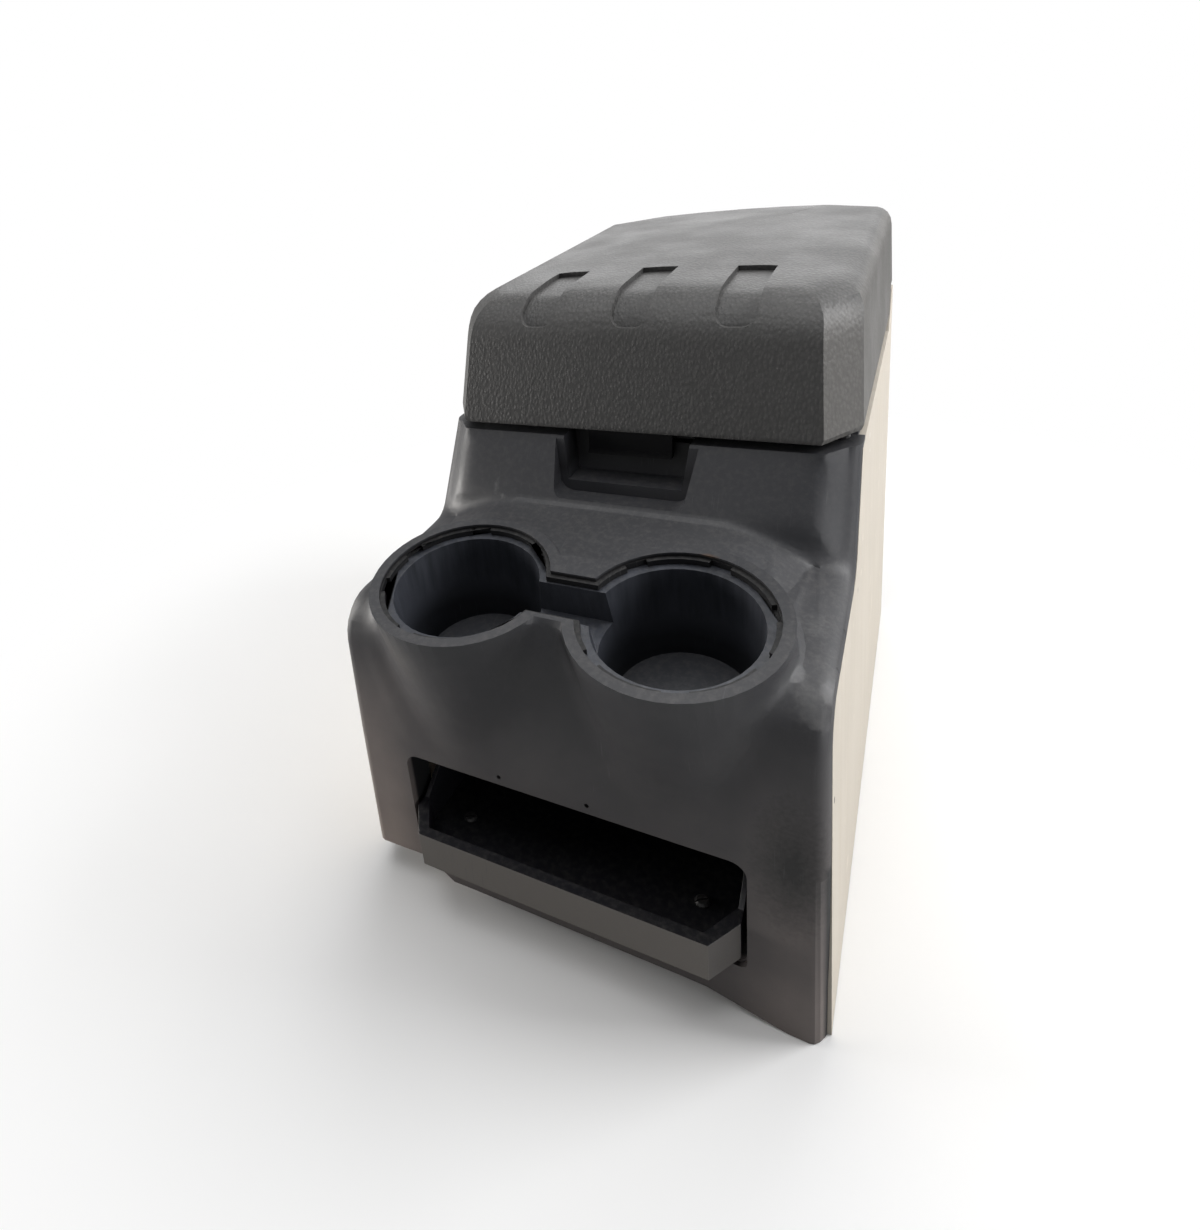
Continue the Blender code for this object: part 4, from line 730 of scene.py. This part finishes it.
def front_place(x, z):
    """The smooth front's Y at a place seen from the front, found by halving."""
    low, high = -0.310, -0.245
    for _ in range(22):
        middle = (low + high) / 2
        if front_distance(x, middle, z) > 0:
            low = middle
        else:
            high = middle
    return high


print("front at the middle, in mm", round(1000 * front_place(0.0, 0.15), 1))

# %% [markdown]
# ## Cutting the skin into squares
#
# A large flat face can't bend. Planes a few millimetres apart cut it into small squares, and two tests say
# which faces belong to the front skin and which to the slope and the shelf.

# %% Cutting the skin
def cut_across(bm, chosen, axis, start, stop, pitch):
    """Cut the chosen faces by evenly spaced planes across one axis."""
    normal = Vector((0.0, 0.0, 0.0))
    normal[axis] = 1.0
    for k in range(int(round((stop - start) / pitch)) + 1):
        level = start + pitch * k
        faces = [
            f
            for f in bm.faces
            if min(v.co[axis] for v in f.verts) < level - 2 * WELD
            and max(v.co[axis] for v in f.verts) > level + 2 * WELD
            and chosen(f)
        ]
        edges = {e for f in faces for e in f.edges}
        verts = {v for f in faces for v in f.verts}
        if faces:
            parts = faces + list(edges) + list(verts)
            bmesh.ops.bisect_plane(bm, geom=parts, dist=WELD, plane_co=normal * level, plane_no=normal)


def on_front(face):
    """Faces of the wall and the collars that look forward or down."""
    at = face.calc_center_median()
    if not (-0.32 < at.y < -0.243 and 0.112 < at.z < 0.232 and abs(at.x) < 0.131):
        return False
    return face.normal.y < -0.25 or (face.normal.z < -0.3 and at.y < -0.246)


def on_slope(face):
    """Faces of the slope under the lid, its side facets and the shelf."""
    at = face.calc_center_median()
    if not (-0.262 < at.y < -0.098 and 0.200 < at.z < 0.2805):
        return False
    if at.y < -0.172 and abs(at.x) < 0.1275:
        return False
    if abs(at.x) < 0.062 and at.z > 0.2425:
        return False
    return face.normal.y < -0.3 or face.normal.z > 0.4


# %% [markdown]
# ## Finger recess and tray opening
#
# The real recess reaches further down the slope than the frame's, so its lower points slide down along the
# slope. Round the tray's opening the wall turns inward, which a closed ring of faces adds.

# %% Recess and opening
RECESS_DROP = 0.010
SLOPE_TOP = 0.2805
SLOPE_RUN = 0.725


def deepen_recess(bm):
    """Carry the finger recess further down the slope."""
    for vert in bm.verts:
        x, y, z = vert.co
        if abs(x) > 0.0525 or not (0.2500 < z < SLOPE_TOP) or not (-0.140 < y < -0.090):
            continue
        share = fade(SLOPE_TOP - z, 0.0, 0.016)
        vert.co.z -= RECESS_DROP * share
        vert.co.y -= RECESS_DROP * share * SLOPE_RUN
        vert.co.x *= 1.0 + 0.06 * share


def tray_mouth_return(bm):
    """The wall turns inward round the tray's opening."""
    half, low, top, corner = 0.1072, 0.036, 0.111, 0.009
    outer, inner, wall = -0.2662, -0.2465, 0.0015
    outline = []
    for across, level, first in (
        (half - corner, top - corner, 0),
        (corner - half, top - corner, 90),
        (corner - half, low + corner, 180),
        (half - corner, low + corner, 270),
    ):
        for k in range(6):
            angle = math.radians(first + 18 * k)
            outline.append((across, level, math.cos(angle), math.sin(angle)))
    rings = []
    for y, grow in ((outer, 0.0), (inner, 0.0), (inner, wall), (outer, wall)):
        reach = corner + grow
        rings.append([bm.verts.new((a + c * reach, y, b + d * reach)) for a, b, c, d in outline])
    count = len(outline)
    for ring, other in zip(rings, rings[1:] + rings[:1]):
        for k in range(count):
            bm.faces.new((ring[k], ring[(k + 1) % count], other[(k + 1) % count], other[k]))


# %% [markdown]
# ## Evening out
#
# Moving each point towards the middle of its neighbours, again and again, turns a crease into a curve. The
# slope's crease above the shelf gets this, and so do two spots where a collar's outer foot meets the brow.

# %% Evening
SLOPE_TURNS = 36
CREASE_TURNS = 60
CREASES = ((Vector((0.119, -0.258, 0.210)), 0.024), (Vector((-0.119, -0.258, 0.210)), 0.024))


def even_out(share, turns):
    """Move every point by its share of the way to the middle of its neighbours, all at once."""
    for _ in range(turns):
        places = {}
        for vert, amount in share.items():
            around = [e.other_vert(vert).co for e in vert.link_edges]
            places[vert] = vert.co.lerp(sum(around, Vector()) / len(around), amount)
        for vert, place in places.items():
            vert.co = place


def even_slope(bm):
    """Even the slope and the shelf, whose outer border stays."""
    zone = {v for f in bm.faces if on_slope(f) for v in f.verts}
    share = {v: 0.5 for v in zone if all(on_slope(f) for f in v.link_faces)}
    even_out(share, SLOPE_TURNS)
    print("slope places evened", len(share))


def even_creases(bm):
    """Even out the folds where the collars' outer feet run into the brow, fading out with distance."""
    share = {}
    for vert in bm.verts:
        reach = max(1.0 - (vert.co - centre).length / radius for centre, radius in CREASES)
        depth = -(to_ring @ vert.co).z
        sound = all(f.normal.z > -0.3 and f.normal.y < 0.35 for f in vert.link_faces)
        if reach > 0.0 and depth > 0.0035 and abs(vert.co.x) < 0.1340 and sound:
            share[vert] = min(reach * 3.0, 1.0) * 0.5
    even_out(share, CREASE_TURNS)
    print("crease places evened", len(share))


# %% [markdown]
# ## Moving the skin
#
# Each point of the front skin slides forward or back to the smooth form. It stays where the rims begin,
# where another wall lies in front of it, and towards the sides and the tray, so that the borders still fit.

# %% Moving the skin
FRONT_PITCH = 0.0026
SIDE = 0.130
NECK_RIM = 0.0005
COLLAR_RIM = 0.0045


def move_front(bm):
    """Slide the front skin to the smooth form."""
    from_front = BVHTree.FromBMesh(bm)
    cut_across(bm, on_front, 0, -SIDE, SIDE, FRONT_PITCH)
    cut_across(bm, on_front, 2, 0.1125, 0.2315, FRONT_PITCH)
    moved = 0
    for vert in {v for f in bm.faces if on_front(f) for v in f.verts}:
        x, y, z = vert.co
        depth = -(to_ring @ vert.co).z
        hit = from_front.ray_cast(Vector((x, y - 0.0004, z)), Vector((0.0, -1.0, 0.0)))[0]
        rim = NECK_RIM if abs(x) < 0.045 else COLLAR_RIM
        if hit is not None or depth < rim:
            continue
        goal = front_place(x, z)
        from_collar = collar_distance(to_ring @ Vector((x, goal, z)))
        share = fade(depth, rim, 0.001)
        share *= fade(z, 0.1135, 0.006)
        share *= fade(SIDE - abs(x), 0.0, 0.006)
        share *= 1.0 - fade(abs(x), 0.085, 0.010) * fade(z, 0.202, 0.008)
        share *= fade(0.018 - from_collar, 0.0, 0.005)
        vert.co.y = y + (goal - y) * share
        moved += 1
    print("front skin places moved", moved)


def soften_front(bm):
    deepen_recess(bm)
    move_front(bm)
    cut_across(bm, on_slope, 0, -0.140, 0.140, 0.0050)
    cut_across(bm, on_slope, 1, -0.259, -0.099, 0.0040)
    cut_across(bm, on_slope, 2, 0.203, 0.279, 0.0040)
    even_slope(bm)
    even_creases(bm)
    tray_mouth_return(bm)
    bmesh.ops.recalc_face_normals(bm, faces=bm.faces)


# %% [markdown]
# ## Dressing the large pieces
#
# Thick mouldings ask for a wider rounding than thin ones. The front passes through its own shaping first.

# %% Large pieces
SHAPES = {"fascia": soften_front}
for node, width in (
    ("lid_cover", 0.0016),
    ("fascia", 0.0008),
    ("cup_tub", 0.0006),
    ("lower_tray", 0.0008),
    ("carrier_body", 0.0010),
    ("bin_liner", 0.0008),
    ("latch_paddle", 0.0005),
    ("lid_panel", 0.0004),
):
    dress(node, width, SHAPES.get(node))

# %% [markdown]
# ## Small hardware
#
# Screws, pins, the hinge and the rubber stops keep the frame's own shape and only get their finish.

# %% Finish for the small pieces
for node, source in frame["nodes"].items():
    if source.hide_render:
        continue
    source.data.materials.clear()
    source.data.materials.append(OWN_FINISH.get(node, FINISHES[slot_of[node]]))
print("small pieces finished")

# %% [markdown]
# ## The floor
#
# The photograph has a white ground. The camera sees a pale floor that takes the soft shadow and fades to
# white further out. To the light that bounces from it the floor is greyer, and in reflections it is in
# between, so that the dark plastics stay dark.

# %% Floor
floor_data = bpy.data.meshes.new("floor")
bm = bmesh.new()
bmesh.ops.create_grid(bm, x_segments=1, y_segments=1, size=6.0)
bm.to_mesh(floor_data)
bm.free()
floor = bpy.data.objects.new("floor", floor_data)
floor.location.z = cad_box[0].z - 0.0005
bpy.context.scene.collection.objects.link(floor)
floor_finish = bpy.data.materials.new("pale floor")
floor_finish.use_nodes = True
floor_tree = floor_finish.node_tree
floor_shader = floor_tree.nodes["Principled BSDF"]
floor_shader.inputs["Roughness"].default_value = 0.9
spread = add_node(floor_tree, "ShaderNodeTexCoord").outputs["Object"]
reach = add_node(floor_tree, "ShaderNodeVectorMath", {0: spread}, operation="LENGTH").outputs["Value"]
glow = add_node(floor_tree, "ShaderNodeEmission", {"Color": (1.0, 1.0, 1.0, 1.0), "Strength": 1.0})
floor_path = add_node(floor_tree, "ShaderNodeLightPath")
camera_rays = floor_path.outputs["Is Camera Ray"]
BOUNCED = (0.34, 0.34, 0.34)
MIRRORED = (0.56, 0.56, 0.56)
SEEN = (0.88, 0.88, 0.88)
unseen = mix_colour(floor_tree, floor_path.outputs["Is Glossy Ray"], BOUNCED, MIRRORED)
paleness = mix_colour(floor_tree, camera_rays, unseen, SEEN)
floor_tree.links.new(paleness, floor_shader.inputs["Base Color"])
fading = combine(floor_tree, ramp(floor_tree, reach, 0.32, 0.75), camera_rays, "MULTIPLY")
floor_mix = add_node(
    floor_tree, "ShaderNodeMixShader", {0: fading, 1: floor_shader.outputs[0], 2: glow.outputs[0]}
)
floor_tree.links.new(floor_mix.outputs[0], floor_tree.nodes["Material Output"].inputs["Surface"])
floor_data.materials.append(floor_finish)
print("floor below the part, in mm", round(1000 * (cad_box[0].z - floor.location.z), 1))

# %% [markdown]
# ## The world
#
# Past the floor the camera sees plain white, and so would rays through clear parts. Reflections see the
# same white, dimmed, and everything else gets only a faint cool light from all round.

# %% World
world = bpy.data.worlds.new("soft room")
bpy.context.scene.world = world
world.use_nodes = True
sky = world.node_tree
room = sky.nodes["Background"]
room.inputs["Color"].default_value = (0.88, 0.93, 1.0, 1.0)
room.inputs["Strength"].default_value = 0.06
white = add_node(sky, "ShaderNodeBackground", {"Color": (1.0, 1.0, 1.0, 1.0), "Strength": 1.0})
path = add_node(sky, "ShaderNodeLightPath")
seen = combine(sky, path.outputs["Is Camera Ray"], path.outputs["Is Transmission Ray"], "MAXIMUM")
mirrored = part_of(sky, path.outputs["Is Glossy Ray"], 0.3)
shown = combine(sky, seen, mirrored, "MAXIMUM")
choose = add_node(sky, "ShaderNodeMixShader", {0: shown, 1: room.outputs[0], 2: white.outputs[0]})
sky.links.new(choose.outputs[0], sky.nodes["World Output"].inputs["Surface"])
bpy.context.scene.view_settings.view_transform = "Standard"
print("world ready")

# %% [markdown]
# ## Lights
#
# Five square lights stand for the room. A broad one behind slides along the lid's top, and one overhead
# fills the shelf and the cups. Two low ones draw out the collars from the sides, the left one stronger and
# a little warm. The last, behind on the right, brightens the lid's right side and the pale body.

# %% Soft lights
def soft_light(name, place, aim, size, watts, colour=(1.0, 1.0, 1.0)):
    """A square area light at a place, turned to a point."""
    data = bpy.data.lights.new(name, "AREA")
    data.shape = "SQUARE"
    data.size = size
    data.energy = watts
    data.color = colour
    light = bpy.data.objects.new(name, data)
    bpy.context.scene.collection.objects.link(light)
    light.location = place
    light.rotation_euler = (Vector(aim) - Vector(place)).to_track_quat("-Z", "Y").to_euler()


soft_light("behind", (-0.3, 2.2, 1.25), (0.0, 0.0, 0.35), 2.4, 34.0)
soft_light("overhead", (-0.1, -0.1, 2.2), (0.0, 0.0, 0.2), 1.8, 25.0)
soft_light("low left", (-2.0, -0.5, 0.3), (0.0, -0.2, 0.12), 0.8, 40.0, (1.0, 0.97, 0.93))
soft_light("low right", (2.0, -0.5, 0.3), (0.0, -0.2, 0.12), 0.8, 12.0)
soft_light("right behind", (1.9, 0.9, 1.5), (0.0, 0.0, 0.25), 1.2, 50.0)
print("lights ready")
